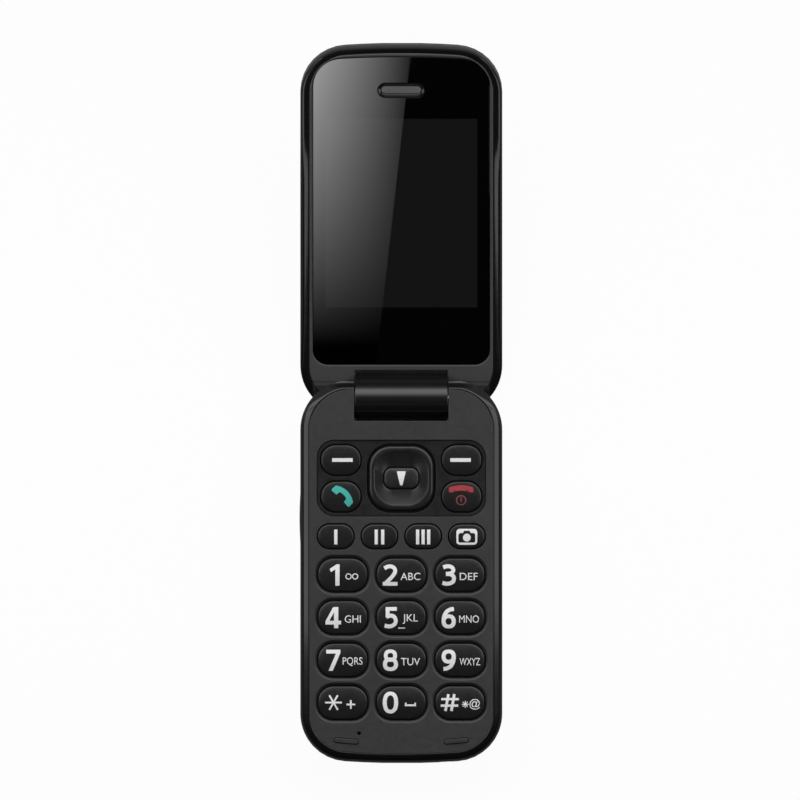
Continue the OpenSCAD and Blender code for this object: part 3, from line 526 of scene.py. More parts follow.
def barrel_gloss(colour):
    """The hinge barrel's polish, softened by wear from opening and closing."""
    mat, shader = new_material("barrel_gloss")
    place = grain(shader, 500, 0.004, (0.2, 0.26), 0.5)
    shade_colour(shader, place, tinted(colour, 0.9), tinted(colour, 1.1), 90)
    feed(shader, {"Specular IOR Level": 0.62})
    return mat


def satin_key(colour):
    """Satin key plastic: very fine texture, a little glossier than the casing, with faintly rubbed edges."""
    mat, shader = new_material("satin_key")
    place = grain(shader, 14000, 0.0025, (0.28, 0.34))
    edge_wear(shader, shade_colour(shader, place, tinted(colour, 0.9), tinted(colour, 1.08), 120), 0.12)
    return mat


def legend_ink(name, colour):
    """Printed legend: slightly uneven ink."""
    mat, shader = new_material(name)
    place = grain(shader, 6000, 0.004, (0.42, 0.55))
    shade_colour(shader, place, tinted(colour, 0.94), colour, 1800)
    return mat


def cover_glass(colour, screen):
    """Black-backed cover glass with a clear field over the display, where the panel shows a little paler."""
    mat, shader = new_material("cover_glass")
    tree = shader.id_data
    place = add(tree, "TexCoord", place=(-1500, 300)).outputs["Object"]
    turn = add(tree, "Mapping", {
        "Location": (0, HINGE_Y * MM, HINGE_Z * MM), "Rotation": (TILT, 0, 0), "Vector": place},
        (-1300, 300), vector_type="TEXTURE")
    parts = add(tree, "SeparateXYZ", {"Vector": turn.outputs["Vector"]}, (-1100, 300))
    inside = []
    for axis, middle, half, y in (("X", 0.0, SCREEN_HALF_W, 500), ("Y", SCREEN_Y, SCREEN_HALF_H, 200)):
        off = combined("SUBTRACT", parts.outputs[axis], middle * MM, place=(-900, y))
        size = combined("ABSOLUTE", off, place=(-750, y))
        inside.append(ramped(size, ((half + 0.04) * MM, (half - 0.04) * MM), place=(-600, y)))
    on_screen = combined("MULTIPLY", *inside, place=(-400, 350))
    tone = blended(on_screen, (*colour, 1), (*screen, 1), (-200, 350))
    smear = ramped(noise(place, 70, 5, (-900, -150)), (0.4, 0.7), (0.0, 0.012), (-600, -150))
    feed(shader, {"Base Color": tone, "Roughness": smear, "IOR": GLASS_IOR})
    return mat


def plain_glass(name, colour, roughness=0.04):
    mat, shader = new_material(name)
    grain(shader, 90, 0.0, (roughness, roughness * 2), 0.0)
    feed(shader, {"Base Color": (*colour, 1), "IOR": GLASS_IOR, "Coat Weight": 0.5, "Coat Roughness": 0.02})
    return mat


def metal(name, colour, roughness, scale=1500, stretch=(1, 1, 1)):
    """Drawn or plated metal with a fine directional grain."""
    mat, shader = new_material(name)
    tree = shader.id_data
    place = add(tree, "TexCoord", place=(-1300, 0))
    long = add(tree, "Mapping", {"Scale": stretch, "Vector": place.outputs["Object"]}, (-1100, 0))
    lines = noise(long.outputs["Vector"], scale, 5, (-850, 0))
    rough = ramped(lines, (0.0, 1.0), (roughness * 0.75, roughness * 1.3), (-500, 150))
    lifted(shader, lines, 0.01, 0.5)
    tone = two_tones(lines, tinted(colour, 0.85), colour, (-500, 500))
    feed(shader, {"Roughness": rough, "Base Color": tone, "Metallic": 1.0})
    return mat


def moulded(name, colour, rough=(0.45, 0.6), scale=4000, depth=0.01):
    """Plain moulded or rubber part with its own grain."""
    mat, shader = new_material(name)
    place = grain(shader, scale, depth, rough)
    shade_colour(shader, place, tinted(colour, 1 / 1.1), tinted(colour, 1.1), 300)
    return mat


def solder_mask(colour):
    """Near-black board with faint traces under the mask."""
    mat, shader = new_material("solder_mask")
    place = grain(shader, 2500, 0.01, (0.28, 0.4))
    traces = add(shader.id_data, "TexBrick", {
        "Scale": 420, "Mortar Size": 0.03, "Color1": (*colour, 1), "Color2": (*tinted(colour, 0.82), 1),
        "Mortar": (*[c * 1.9 + 0.01 for c in colour], 1), "Vector": place}, (-850, 900))
    feed(shader, {"Base Color": traces.outputs["Color"], "Coat Weight": 0.3})
    return mat


FINISH = {}


def make_finishes(colours):
    FINISH.update({
        "matte": matte_casing(colours.casing),
        "gloss": gloss_casing(colours.rim),
        # The lid's face: the same casing colour made 1.85 times paler. This is painted light: it makes up for
        # the light the face misses, because it is turned away from the wall beyond the lid.
        "lid_matte_painted_paler": matte_casing(tinted(colours.casing, 1.85)),
        "panel_satin": moulded("navigation_satin", (0.0095, 0.0095, 0.01), (0.36, 0.44), 6000, 0.003),
        "barrel": barrel_gloss(colours.rim),
        "key": satin_key(colours.keys),
        "centre": satin_key(tinted(colours.keys, 1.6)),
        "ink": legend_ink("legend_white", colours.legend),
        "call": legend_ink("legend_teal", colours.call),
        "end": legend_ink("legend_red", colours.end),
        "end_faint": legend_ink("legend_rose", [0.26, 0.06, 0.068]),
        "glass": cover_glass(colours.glass, colours.screen),
        "outer_glass": plain_glass("outer_glass", (0.004, 0.004, 0.005)),
        "lens": plain_glass("lens_glass", (0.006, 0.007, 0.012), 0.02),
        "steel": metal("bright_steel", (0.6, 0.6, 0.62), 0.28, stretch=(6, 1, 1)),
        "mesh": metal("earpiece_metal", (0.4, 0.4, 0.41), 0.5, scale=5000),
        "gold": metal("plated_contacts", (0.83, 0.6, 0.25), 0.22),
        "board": solder_mask((0.006, 0.011, 0.008)),
        "rubber": moulded("silicone_rubber", (0.024, 0.024, 0.025), (0.6, 0.75), 5000),
        "black": moulded("black_moulding", (0.02, 0.02, 0.021), (0.4, 0.55)),
        "cell": moulded("battery_wrap", (0.045, 0.05, 0.058), (0.3, 0.42), 1500, 0.004),
        "flex": moulded("amber_film", (0.42, 0.17, 0.03), (0.25, 0.35), 1200, 0.003),
        "panel": moulded("display_panel", (0.02, 0.021, 0.024), (0.12, 0.2), 500, 0.001),
    })


# Stage

# Camera, side panels and reflection card, in metres
CAMERA_SPAN, CAMERA_X = 0.20992, -0.00034
PANEL_X, PANEL_Z, PANEL_SIZE = 0.15, 0.155, 0.128
CARD_REACH = 1.2


def softbox(name, place, aim, size, strength):
    """Soft light panel with no glare of its own in the picture."""
    lamp = bpy.data.lights.new(name, "AREA")
    lamp.shape = "SQUARE"
    lamp.size = size
    lamp.energy = strength
    obj = linked(bpy.data.objects.new(name, lamp))
    obj.location = place
    obj.rotation_euler = (Vector(aim) - Vector(place)).to_track_quat("-Z", "Y").to_euler()
    obj.visible_camera = False


def eased(source, *span, ends=(0.0, 1.0)):
    """Ramp that starts and ends softly."""
    return ramped(source, span, ends, curve="SMOOTHSTEP")


def mirrored_rays(rays):
    """One where a ray comes from a mirroring or a clear surface."""
    return combined("MAXIMUM", rays.outputs["Is Glossy Ray"], rays.outputs["Is Transmission Ray"])


def mixed_into(output, share, first, second):
    """Mixes two shaders by a share and hands them to the output of their tree."""
    mix = add(output.id_data, "MixShader", {"Fac": share, 1: first.outputs[0], 2: second.outputs[0]})
    feed(output, {"Surface": mix.outputs["Shader"]})


def build_room(light):
    """Studio room: dim overhead, a bright soft wall beyond the lid, and white where the camera looks past."""
    world = bpy.data.worlds.new("studio")
    bpy.context.scene.world = world
    world.use_nodes = True
    tree = world.node_tree
    place = add(tree, "TexCoord")
    way = add(tree, "SeparateXYZ", {"Vector": place.outputs["Generated"]})
    ahead, up = way.outputs["Y"], way.outputs["Z"]
    low_wall = combined("MULTIPLY", eased(ahead, 0.05, 0.65), eased(up, 0.0, 0.3))
    wall = combined("MULTIPLY", low_wall, eased(up, 0.6, 0.985, ends=(1.0, 0.0)))
    even = eased(ahead, -0.3, -0.03, ends=(0.25 * light.room, light.room))
    room = tree.nodes["Background"]
    feed(room, {"Color": (1, 1, 1, 1), "Strength": combined("MULTIPLY_ADD", wall, light.back, even)})
    white = add(tree, "Background", {"Strength": 1.0})
    rays = add(tree, "LightPath")
    horizon = combined("MULTIPLY", mirrored_rays(rays), eased(up, 0.02, 0.1, ends=(0.6, 0.0)))
    seen = combined("MAXIMUM", rays.outputs["Is Camera Ray"], horizon)
    mixed_into(tree.nodes["World Output"], seen, room, white)


def build_floor():
    """Pale floor that keeps the object's shadow."""
    deselect()
    bpy.ops.mesh.primitive_plane_add(size=6, location=(0, HINGE_Y * MM, -0.00002))
    floor = bpy.context.object
    floor.name = "floor"
    mat, shader = new_material("pale_floor")
    tree = shader.id_data
    feed(shader, {"Base Color": (0.86, 0.86, 0.86, 1), "Roughness": 0.9})
    rays = add(tree, "LightPath")
    direct, bounced = rays.outputs["Is Camera Ray"], mirrored_rays(rays)
    strength = combined("MAXIMUM", direct, combined("MULTIPLY", bounced, 0.22))
    glow = add(tree, "Emission", {"Strength": strength})
    seen = combined("MAXIMUM", combined("MULTIPLY", direct, 0.96), bounced)
    mixed_into(tree.nodes["Material Output"], seen, shader, glow)
    floor.data.materials.append(mat)


def build_camera():
    """Camera square over the open phone, without perspective."""
    camera = linked(bpy.data.objects.new("camera", bpy.data.cameras.new("camera")))
    camera.data.type = "ORTHO"
    camera.data.ortho_scale = CAMERA_SPAN
    camera.location = (CAMERA_X, HINGE_Y * MM, 1.0)
    camera.data.clip_start, camera.data.clip_end = 0.01, 10
    bpy.context.scene.camera = camera
    bpy.context.scene.view_settings.view_transform = "Standard"


def side_panels(light):
    """Soft panels close beside the phone, as long as the grey on its rims."""
    y = HINGE_Y * MM
    for name, side in (("left_panel", -1), ("right_panel", 1)):
        softbox(name, (PANEL_X * side, y, PANEL_Z), (0, y, 0.01), PANEL_SIZE, light.side)


def reflection_card(light):
    """Pale card that the tilted display glass mirrors: its straight edge crosses the glass and it fades."""
    way = Vector((0, -math.sin(2 * TILT), math.cos(2 * TILT))) * CARD_REACH

    def over_glass(across, along):
        return lid_matrix() @ (Vector((across, along, GLASS_FACE)) * MM) + way
    corners = [over_glass(*p) for p in ((-28, 97), (2.9, 97), (-7.85, -3), (-28, -3))]
    deselect()
    bpy.ops.mesh.primitive_plane_add(size=1)
    card = bpy.context.object
    card.name = "reflection_card"
    for v, k in zip(card.data.vertices, (3, 2, 0, 1)):
        v.co = corners[k]
    card.data.update()
    mat, shader = new_material("card_glow")
    tree = shader.id_data
    tree.nodes.remove(shader)
    place = add(tree, "TexCoord")
    parts = add(tree, "SeparateXYZ", {"Vector": place.outputs["Object"]})
    far, near = over_glass(0, 92).y, over_glass(0, 13).y
    down = ramped(parts.outputs["Y"], (near, far))
    across = ramped(parts.outputs["X"], (-0.0225, 0.0048), (1.0, 0.0))
    shade = combined("MULTIPLY", combined("POWER", down, 1.3), combined("POWER", across, 1.25))
    glow = add(tree, "Emission", {"Strength": combined("MULTIPLY", shade, light.card)})
    feed(tree.nodes["Material Output"], {"Surface": glow.outputs[0]})
    card.data.materials.append(mat)
    card.visible_camera = card.visible_diffuse = card.visible_shadow = False


# Casings

# Rim section from its wall up to the plate: how far in, and how far below the face
RIM_BEVEL = [(0, -2.0), (0.02, -1.74), (0.11, -1.42), (0.27, -1.1), (0.48, -0.81), (0.74, -0.58),
             (1.02, -0.41), (1.32, -0.28), (1.65, -0.165), (1.98, -0.062), (2.2, -0.01), (2.3, -0.03),
             (2.37, -0.08), (RIM_W, -0.2)]


def on_shoulder(p):
    """Draws a point in to the round shoulders beside the hinge."""
    dy, dz = p[1] - HINGE_Y, p[2] - HINGE_Z
    far = math.hypot(dy, dz)
    if dy <= 0 or far <= SHOULDER_R:
        return p
    return (p[0], HINGE_Y + dy * SHOULDER_R / far, HINGE_Z + dz * SHOULDER_R / far)


def fallen_end(p, inset):
    """Lowers the bevel at the hinge end, where the rim falls away steeply in front of the lid."""
    reach, run, lowest, slope, crest = 7, 4, 8.45, 1.3, 1.95
    share = min(1.0, max(0.0, (p[1] - HIGH_Y + reach) / run))
    low = max(lowest, FACE_Z - slope * max(0.0, crest - inset))
    return (p[0], p[1], p[2] + min(0.0, low - p[2]) * share)


def base_rim_piece():
    lower = [(0.1, SPLIT_Z), (0, SPLIT_Z + 0.1), (0, 6.0), (0, 7.4), (0, 8.4)]
    bevel = [(inset, FACE_Z + z) for inset, z in RIM_BEVEL]
    inner = [(RIM_W, FACE_Z - PLATE_T), (WALL + 0.05, FACE_Z - PLATE_T), (WALL, SPLIT_Z)]
    profile = lower + bevel + inner
    paths = [notched_half(inset) for inset, _ in profile]
    right = [[on_shoulder((x, y, z)) for (x, y), (_, z) in zip(points, profile)] for points in zip(*paths)]
    for section in right:
        for k, (inset, _) in enumerate(bevel, len(lower)):
            section[k] = fallen_end(section[k], inset)
    obj = drape(mirrored(right) + [on_middle(right[0])] + right)
    front = Matrix.Rotation(math.radians(90), 4, "X")
    cut_away(obj, cutter_block(7.8, 3.0, 8, 0.9, (0, LOW_Y, SOCKET_Z), front))
    cut_away(obj, cutter_block(5.2, 5.2, 8, 2.59, (JACK_X, LOW_Y, SOCKET_Z), front))
    side = Matrix.Rotation(math.radians(90), 4, "Y")
    return cut_away(obj, cutter_block(3.6, 15.4, 5.6, 1.3, (-BODY_W / 2, 14, 7.0), side))


def key_box(node):
    """Middle of a key, and the size of its cap without the flange below the plate."""
    low, high = box_mm(node)
    middle = ((low.x + high.x) / 2, (low.y + high.y) / 2)
    return middle, high.x - low.x - KEY_FLANGE, high.y - low.y - KEY_FLANGE


def key_outline(node, grow, r):
    middle, w, h = key_box(node)
    return round_rect(w + 2 * grow, h + 2 * grow, r + grow, at=middle)


def opening_cutter(key):
    """Cutter for a number key's opening, flared at the top so that it leaves a rounded bevel."""
    flare = ((0.3, -2.0), (0.3, -0.72), (0.34, -0.62), (0.42, -0.52), (0.78, -0.16), (0.86, -0.09),
             (0.95, -0.03), (1.06, 0.0), (1.2, 0.02), (1.2, 1.0))
    return drape([[(x, y, FACE_Z + z) for x, y in key_outline(key, grow, NUMBER_R)] for grow, z in flare])


def front_plate():
    right = notched_half(RIM_W) + [(NOTCH_HALF, HINGE_Y - NOTCH_REACH)]
    holes = [key_outline(k, 0.3, QUICK_R) for k in QUICK_KEYS]
    holes.append(round_rect(44.4, 20.1, 4.6, at=(0, NAV_Y)))
    for side in (-1, 1):
        holes.append(turned(round_rect(6.5, 1.4, 0.69), REST_TURN * side, (REST_X * side, REST_Y)))
    holes.append(round_rect(1.0, 1.0, 0.499, n=6, at=(-11.1, HINGE_Y - 87.5)))
    obj = plate(both_halves(right), holes, FACE_Z - PLATE_T, FACE_Z, 0.14)
    return cut_away(obj, united([opening_cutter(k) for k in NUMBER_KEYS]))


def navigation_plate():
    holes = [key_outline(k, 0.3, SIDE_R) for k in SIDE_KEYS]
    holes.append(round_rect(18.1, 18.1, 6.15, at=(0, NAV_Y)))
    return plate(round_rect(44.3, 20.0, 4.55, at=(0, NAV_Y)), holes, FACE_Z - 1.5, FACE_Z - 0.4, 0.18)


def rest_pads():
    made = []
    for side in (-1, 1):
        pad = button(6.35, 1.25, 0.6, FACE_Z - 0.4, FACE_Z + 0.3, edge=0.2, rings=1, segments=6)
        turn = Matrix.Rotation(math.radians(REST_TURN * side), 4, "Z")
        made.append(settle(pad, shift(REST_X * side, REST_Y) @ turn))
    return united(made)


# Lid

def lid_outer(s):
    """Depth of the lid's outer face: a slope from the hinge that turns softly into the flat back."""
    at_hinge, rise, blend = (HINGE_Z - 0.4) / math.cos(TILT), math.tan(TILT), 1.2
    d = at_hinge + rise * s - LID_BACK
    if d < -blend:
        return LID_BACK + d
    return LID_BACK if d > blend else LID_BACK - (blend - d) ** 2 / (4 * blend)


def lid_inner(s):
    """Depth of the lid's inner face, hollowed round the base's shoulders."""
    lip_r = SHOULDER_R + 0.3
    if s > -math.sqrt(lip_r ** 2 - LID_FACE ** 2):
        return LID_FACE
    return max(3.5, math.sqrt(max(0, lip_r ** 2 - s * s)))


def lid_point(p, t):
    """Point between the lid's inner and outer face."""
    inner, outer = lid_inner(p[1]), lid_outer(p[1])
    return (p[0], p[1], -(inner + (outer - inner) * t))


def further_up(s):
    """Share of the flat rim with its tight edge, which the soft crown near the hinge turns into."""
    start, run = 60, 9
    share = min(1.0, max(0.0, (s - start) / run))
    return share * share * (3 - 2 * share)


def lid_rim_piece():
    # Steps in from the side and from the top, and depths of the crowned and of the flat rim
    steps = ((0.06, 0.06, 0.45, 0.45), (0, 0, 0.435, 0.435), (0, 0.01, 0.36, 0.36), (0, 0.03, 0.29, 0.29),
             (0.06, 0.06, 0.24, 0.2), (0.13, 0.1, 0.215, 0.15), (0.32, 0.18, 0.17, 0.095),
             (0.64, 0.31, 0.125, 0.06), (1.0, 0.52, 0.09, 0.05), (1.42, 0.78, 0.062, 0.044),
             (1.8, 1.01, 0.045, 0.039), (2.02, 1.18, 0.036, 0.036), (2.14, 1.31, 0.034, 0.034),
             (2.28, 1.42, 0.035, 0.035), (2.36, 1.47, 0.038, 0.038), (RIM_W, LID_TOP_RIM, 0.05, 0.05))
    rings = [[lid_point(p, crowned + (flat - crowned) * further_up(p[1])) for p in lid_half(side, top, side)]
             for side, top, crowned, flat in steps]
    wall = lid_half(WALL, WALL, WALL)
    rings.append([(x, y, -lid_inner(y) - PLATE_T) for x, y in lid_half(RIM_W, LID_TOP_RIM, RIM_W)])
    rings.append([(x, y, -lid_inner(y) - PLATE_T - 0.02) for x, y in wall])
    rings.append([lid_point(p, 0.45) for p in wall])
    right = list(zip(*rings))
    low, high = on_middle(right[0]), on_middle(right[-1])
    return into_lid(drape([low] + right + [high] + mirrored(right) + [low], caps=False))


def glass_half(grow):
    return half_plan(23.2 + grow, 8.2 - grow, LID_END - 2.45 + grow, 4.1 + grow, 7.6 + grow, 0, BOW)


def lid_face_plate():
    low, beside_barrel, corner_r = 3.4, 12.1, CORNER_HINGE - RIM_W
    x = BODY_W / 2 - CORNER_HINGE + math.sqrt(corner_r ** 2 - (CORNER_HINGE - SHOULDER_R - low) ** 2)
    right = [(beside_barrel, 6.62), (beside_barrel, low), (x, low)]
    right += [p for p in lid_half(RIM_W, LID_TOP_RIM, RIM_W) if p[1] > low]
    glass = both_halves(glass_half(0.05))
    return into_lid(plate(both_halves(right), [glass], -LID_FACE - PLATE_T, -LID_FACE, 0.34))


def display_glass():
    hole = round_rect(12.4, 4.0, 1.99, at=(0, EARPIECE_Y))
    return into_lid(plate(both_halves(glass_half(0)), [hole], GLASS_BACK, GLASS_FACE, 0.12))


def earpiece_parts():
    """Funnel that leads down to the earpiece, and the grille at its floor."""
    steps = ((12.36, 3.96, GLASS_BACK), (12.36, 3.96, -5.06), (12.28, 3.88, -5.0), (12.1, 3.7, -4.99),
             (11.8, 3.4, -5.03), (11.0, 2.65, -5.28), (10.7, 2.35, -5.36), (10.5, 2.2, -5.44),
             (10.45, 2.15, GLASS_BACK), (12.36, 3.96, GLASS_BACK))
    rings = [[(x, y, z) for x, y in round_rect(w, h, h / 2 - 0.01, at=(0, EARPIECE_Y))] for w, h, z in steps]
    funnel = drape(rings, caps=False)
    grille = button(10.3, 2.0, 0.99, GLASS_BACK, -5.42, edge=0.12, rings=1)
    return into_lid(funnel), into_lid(settle(grille, shift(0, EARPIECE_Y)))


def barrel_piece():
    """Hinge barrel with the lip that carries on from it under the lid's face."""
    ring = arc(0, 0, BARREL_R, 15, 243, 76)
    ring += [(-2, -4.913), (6.6, -7.378), (6.6, -5.24), (5.4, -5.2), (5.33, -4.15), (5.2, -3.7), (5.1, -3.15),
             (5.01, -2.6), (4.92, -1.95), (4.82, -1.3), (4.72, -0.65), (4.61, 0.0), (4.48, 0.55)]
    deselect()
    bpy.ops.mesh.primitive_circle_add(vertices=len(ring), fill_type="NGON")
    obj = bpy.context.object
    for v, (s, z) in zip(obj.data.vertices, ring):
        v.co = Vector((-BARREL_HALF, s, z)) * MM
    obj.matrix_basis = Matrix.Identity(4)
    edit_all(obj, "FACE")
    bpy.ops.mesh.extrude_region_move(TRANSFORM_OT_translate={"value": (2 * BARREL_HALF * MM, 0, 0)})
    bpy.ops.mesh.select_all(action="SELECT")
    bpy.ops.mesh.normals_make_consistent(inside=False)
    bm = bmesh.from_edit_mesh(obj.data)
    for f in bm.faces:
        f.select_set(abs(f.normal.x) > 0.9)
    bmesh.update_edit_mesh(obj.data)
    bpy.ops.mesh.bevel(offset=0.22 * MM, segments=4, affect="EDGES")
    bpy.ops.object.mode_set(mode="OBJECT")
    return into_lid(outward(obj))


# Keys

def keycap_set():
    """Caps of one shape are modelled once and copied to their places."""
    made = {}
    top = FACE_Z + KEY_TOP
    for names, r, z0, z1 in ((NUMBER_KEYS, NUMBER_R, 9.0, top), (QUICK_KEYS, QUICK_R, 9.0, top),
                             (SIDE_KEYS, SIDE_R, 8.9, top - 0.1)):
        _, w, h = key_box(names[0])
        cap = button(w, h, r, z0, z1, edge=0.32, crown=KEY_CROWN, segments=12)
        foot = button(w + 1.1, h + 1.1, r + 0.5, z0 - 0.12, z0 + 0.45, edge=0.08, rings=0, segments=12)
        first = united([cap, foot])
        for name in names:
            made[name] = settle(copied(first), shift(*key_box(name)[0]))
        bpy.data.objects.remove(first)
    return made


def nav_pad_piece():
    """Navigation pad: a rolled rim round a shallow dish, with a hole for the centre key."""
    # Steps of the rolled rim: how far in, and how far below the pad's top
    rolled = ((0, 1.1), (0.02, 0.8), (0.07, 0.54), (0.16, 0.33), (0.29, 0.18), (0.47, 0.08), (0.7, 0.02),
              (0.95, 0), (1.2, 0.005), (1.36, 0.04), (1.46, 0.1))
    foot_z = 8.7
    levels = [[(x, y, z) for x, y in round_rect(17.0 - 2 * inset, 17.0 - 2 * inset, 5.6, n=16)]
              for inset, z in [(0, foot_z)] + [(inset, PAD_TOP - drop) for inset, drop in rolled]]
    crest, hole = levels[-1], round_rect(*CENTRE_HOLE, 2.25, n=16)
    for t in (0.07, 0.17, 0.29, 0.42, 0.56, 0.7, 0.84, 0.95, 1.0):
        level = []
        for (cx, cy, cz), (hx, hy) in zip(crest, hole):
            x, y = cx + (hx - cx) * t, cy + (hy - cy) * t
            across = cx * cx / (cx * cx + cy * cy)
            level.append((x, y, cz - (1.4 - 0.95 * across) * (1 - (x * x + y * y) / (cx * cx + cy * cy))))
        levels.append(level)
    inner = round_rect(CENTRE_HOLE[0] - 0.2, CENTRE_HOLE[1] - 0.2, 2.15, n=16)
    levels.append([(x, y, z - 0.12) for (x, y), (_, _, z) in zip(inner, levels[-1])])
    levels += [[(x, y, foot_z) for x, y in inner], levels[0]]
    pad = settle(drape(levels, caps=False), shift(0, NAV_Y))
    flange = settle(button(18.6, 18.6, 6.4, 8.66, 9.04, edge=0.08, rings=0, segments=12), shift(0, NAV_Y))
    return united([pad, cut_away(flange, cutter_block(*CENTRE_HOLE, 8, 2.25, (0, NAV_Y, 10.5)))])


def centre_key_piece():
    obj = button(9.2, 5.5, 2.1, 9.1, PAD_TOP - 0.1, edge=0.45, crown=CENTRE_CROWN, segments=12)
    return settle(obj, shift(0, NAV_Y))


# Legends, drawn with one unit for a millimetre

PEN = 1.06
LETTERS_Y = -0.4
CAP_SHARE = 0.7

# Pen line of the six, which the nine has turned round
SIX_TAIL = [(1.45, 2.3), (0.5, 2.2), (-0.48, 1.65), (-1.1, 0.75), (-1.38, -0.35), (-1.38, -1.15)]

# Each digit's bowls (width, height, pen, place), its pen lines, and its filled outline with its hole
DIGITS = {
    "0": ([(4.05, 5.75, PEN, 0)], [], []),
    "1": ([], [], [[(1.38, -2.85), (1.38, 2.85), (0.5, 2.85), (-1.35, 1.6), (-0.95, 0.78), (0.22, 1.5),
                    (0.22, -2.85)]]),
    "2": ([], [[(-1.55, 1.78), (-0.75, 2.22), (0.1, 2.32), (0.98, 2.0), (1.38, 1.3), (1.22, 0.5), (0.5, -0.5),
                (-0.45, -1.45), (-1.35, -2.35)]],
          [[(-2.0, -1.85), (-2.0, -2.85), (2.05, -2.85), (2.05, -1.85)]]),
    "3": ([], [[(-1.5, 2.06), (-0.6, 2.33), (0.3, 2.3), (1.05, 1.92), (1.28, 1.3), (0.95, 0.7), (0.3, 0.4),
                (-0.75, 0.32)],
               [(-0.75, 0.3), (0.3, 0.24), (1.15, -0.16), (1.46, -0.95), (1.15, -1.78), (0.35, -2.22),
                (-0.6, -2.34), (-1.7, -2.08)]], []),
    "4": ([], [], [[(1.4, 2.83), (1.4, -0.82), (2.15, -0.82), (2.15, -1.84), (1.4, -1.84), (1.4, -2.83),
                    (0.22, -2.83), (0.22, -1.84), (-2.1, -1.84), (-2.1, -0.95), (0.0, 2.83)],
                   [(0.22, -0.82), (-1.02, -0.82), (0.22, 1.42)]]),
    "5": ([], [[(-1.15, 0.2), (-0.3, 0.52), (0.6, 0.42), (1.22, -0.1), (1.4, -0.9), (1.1, -1.72),
                (0.3, -2.22), (-0.6, -2.34), (-1.65, -2.1)]],
          [[(-1.35, -0.02), (-1.35, 2.85), (1.7, 2.85), (1.7, 1.85), (-0.3, 1.85), (-0.3, 0.35)]]),
    "6": ([(3.72, 3.7, PEN, -0.98)], [SIX_TAIL], []),
    "7": ([], [], [[(-1.95, 2.83), (1.95, 2.83), (1.95, 2.05), (-0.15, -2.83), (-1.35, -2.83), (0.72, 1.8),
                    (-1.95, 1.8)]]),
    "8": ([(3.45, 3.25, PEN * 0.95, 1.22), (3.95, 3.55, PEN, -1.05)], [], []),
    "9": ([(3.72, 3.7, PEN, 0.98)], [[(-x, -y) for x, y in SIX_TAIL]], []),
}


def flat_shape(points, holes=()):
    """Filled outline with its holes."""
    return as_mesh(filled_curve([points, *holes], 1))


def flat_bar(w, h, x, y, angle=0):
    corners = [(-w / 2, -h / 2), (w / 2, -h / 2), (w / 2, h / 2), (-w / 2, h / 2)]
    return flat_shape(turned(corners, angle, (x, y)))


def lettering(text, height, x, width=None, bold=0.0):
    """Word of a cap height, centred across on a point, widened or narrowed to a width."""
    deselect()
    bpy.ops.object.text_add(location=(0, 0, 0))
    obj = bpy.context.object
    obj.data.body = text
    obj.data.size = (height - 2 * bold) / CAP_SHARE
    obj.data.offset = bold
    obj.data.resolution_u = 4
    bpy.ops.object.convert(target="MESH")
    obj = bpy.context.object
    xs = [v.co.x for v in obj.data.vertices]
    ys = [v.co.y for v in obj.data.vertices]
    to_middle = Matrix.Translation((-(min(xs) + max(xs)) / 2, -(min(ys) + max(ys)) / 2, 0))
    stretch = width / (max(xs) - min(xs)) if width else 1
    widen = Matrix.Diagonal((stretch, 1, 1, 1))
    obj.data.transform(Matrix.Translation((x, LETTERS_Y, 0)) @ widen @ to_middle)
    return obj


def rounded_path(points):
    """Smooth line through a few points."""
    out, steps = [], 6
    for i in range(len(points) - 1):
        a, b, c, d = (points[max(i - 1, 0)], points[i], points[i + 1], points[min(i + 2, len(points) - 1)])
        for k in range(steps):
            t = k / steps
            out.append(tuple(
                0.5 * (2 * b[m] + (c[m] - a[m]) * t + (2 * a[m] - 5 * b[m] + 4 * c[m] - d[m]) * t * t
                       + (3 * b[m] - a[m] - 3 * c[m] + d[m]) * t ** 3) for m in (0, 1)))
    return out + [points[-1]]


def placed(points, x, y):
    """Points of a digit in their printed size, at a place."""
    return [(px * 0.96 + x, py * 0.98 + y) for px, py in points]


def pen_stroke(points, x, y):
    """Broad stroke of even width along a smooth line."""
    line = rounded_path(points)
    left, right = [], []
    for i, (px, py) in enumerate(line):
        ax, ay = line[max(i - 1, 0)]
        bx, by = line[min(i + 1, len(line) - 1)]
        n = Vector((ay - by, bx - ax)).normalized() * PEN / 2
        left.append((px + n.x, py + n.y))
        right.append((px - n.x, py - n.y))
    return flat_shape(placed(right + left[::-1], x, y))


def oval(w, h, at, n=40, square=2.3):
    """Oval with slightly full shoulders."""
    points = []
    for k in range(n):
        c, s = math.cos(2 * math.pi * k / n), math.sin(2 * math.pi * k / n)
        points.append((at[0] + w / 2 * math.copysign(abs(c) ** (2 / square), c),
                       at[1] + h / 2 * math.copysign(abs(s) ** (2 / square), s)))
    return points


def bowl(w, h, pen, x, y):
    return flat_shape(oval(w, h, (x, y)), [oval(w - 2 * pen, h - 1.85 * pen, (x, y))])


def disc(r, x, y, hole=0.0):
    holes = [oval(2 * hole, 2 * hole, (x, y), 32, 2)] if hole else []
    return flat_shape(oval(2 * r, 2 * r, (x, y), 32, 2), holes)


def digit(name, x, y):
    """Bold digit about 5.7 mm high, as one or more flat shapes that overlap."""
    bowls, lines, outlines = DIGITS[name]
    made = [bowl(w, h, pen, x, y + dy) for w, h, pen, dy in bowls]
    made += [pen_stroke(line, x, y) for line in lines]
    if outlines:
        points, *holes = [placed(outline, x, y) for outline in outlines]
        made.append(flat_shape(points, holes))
    return made


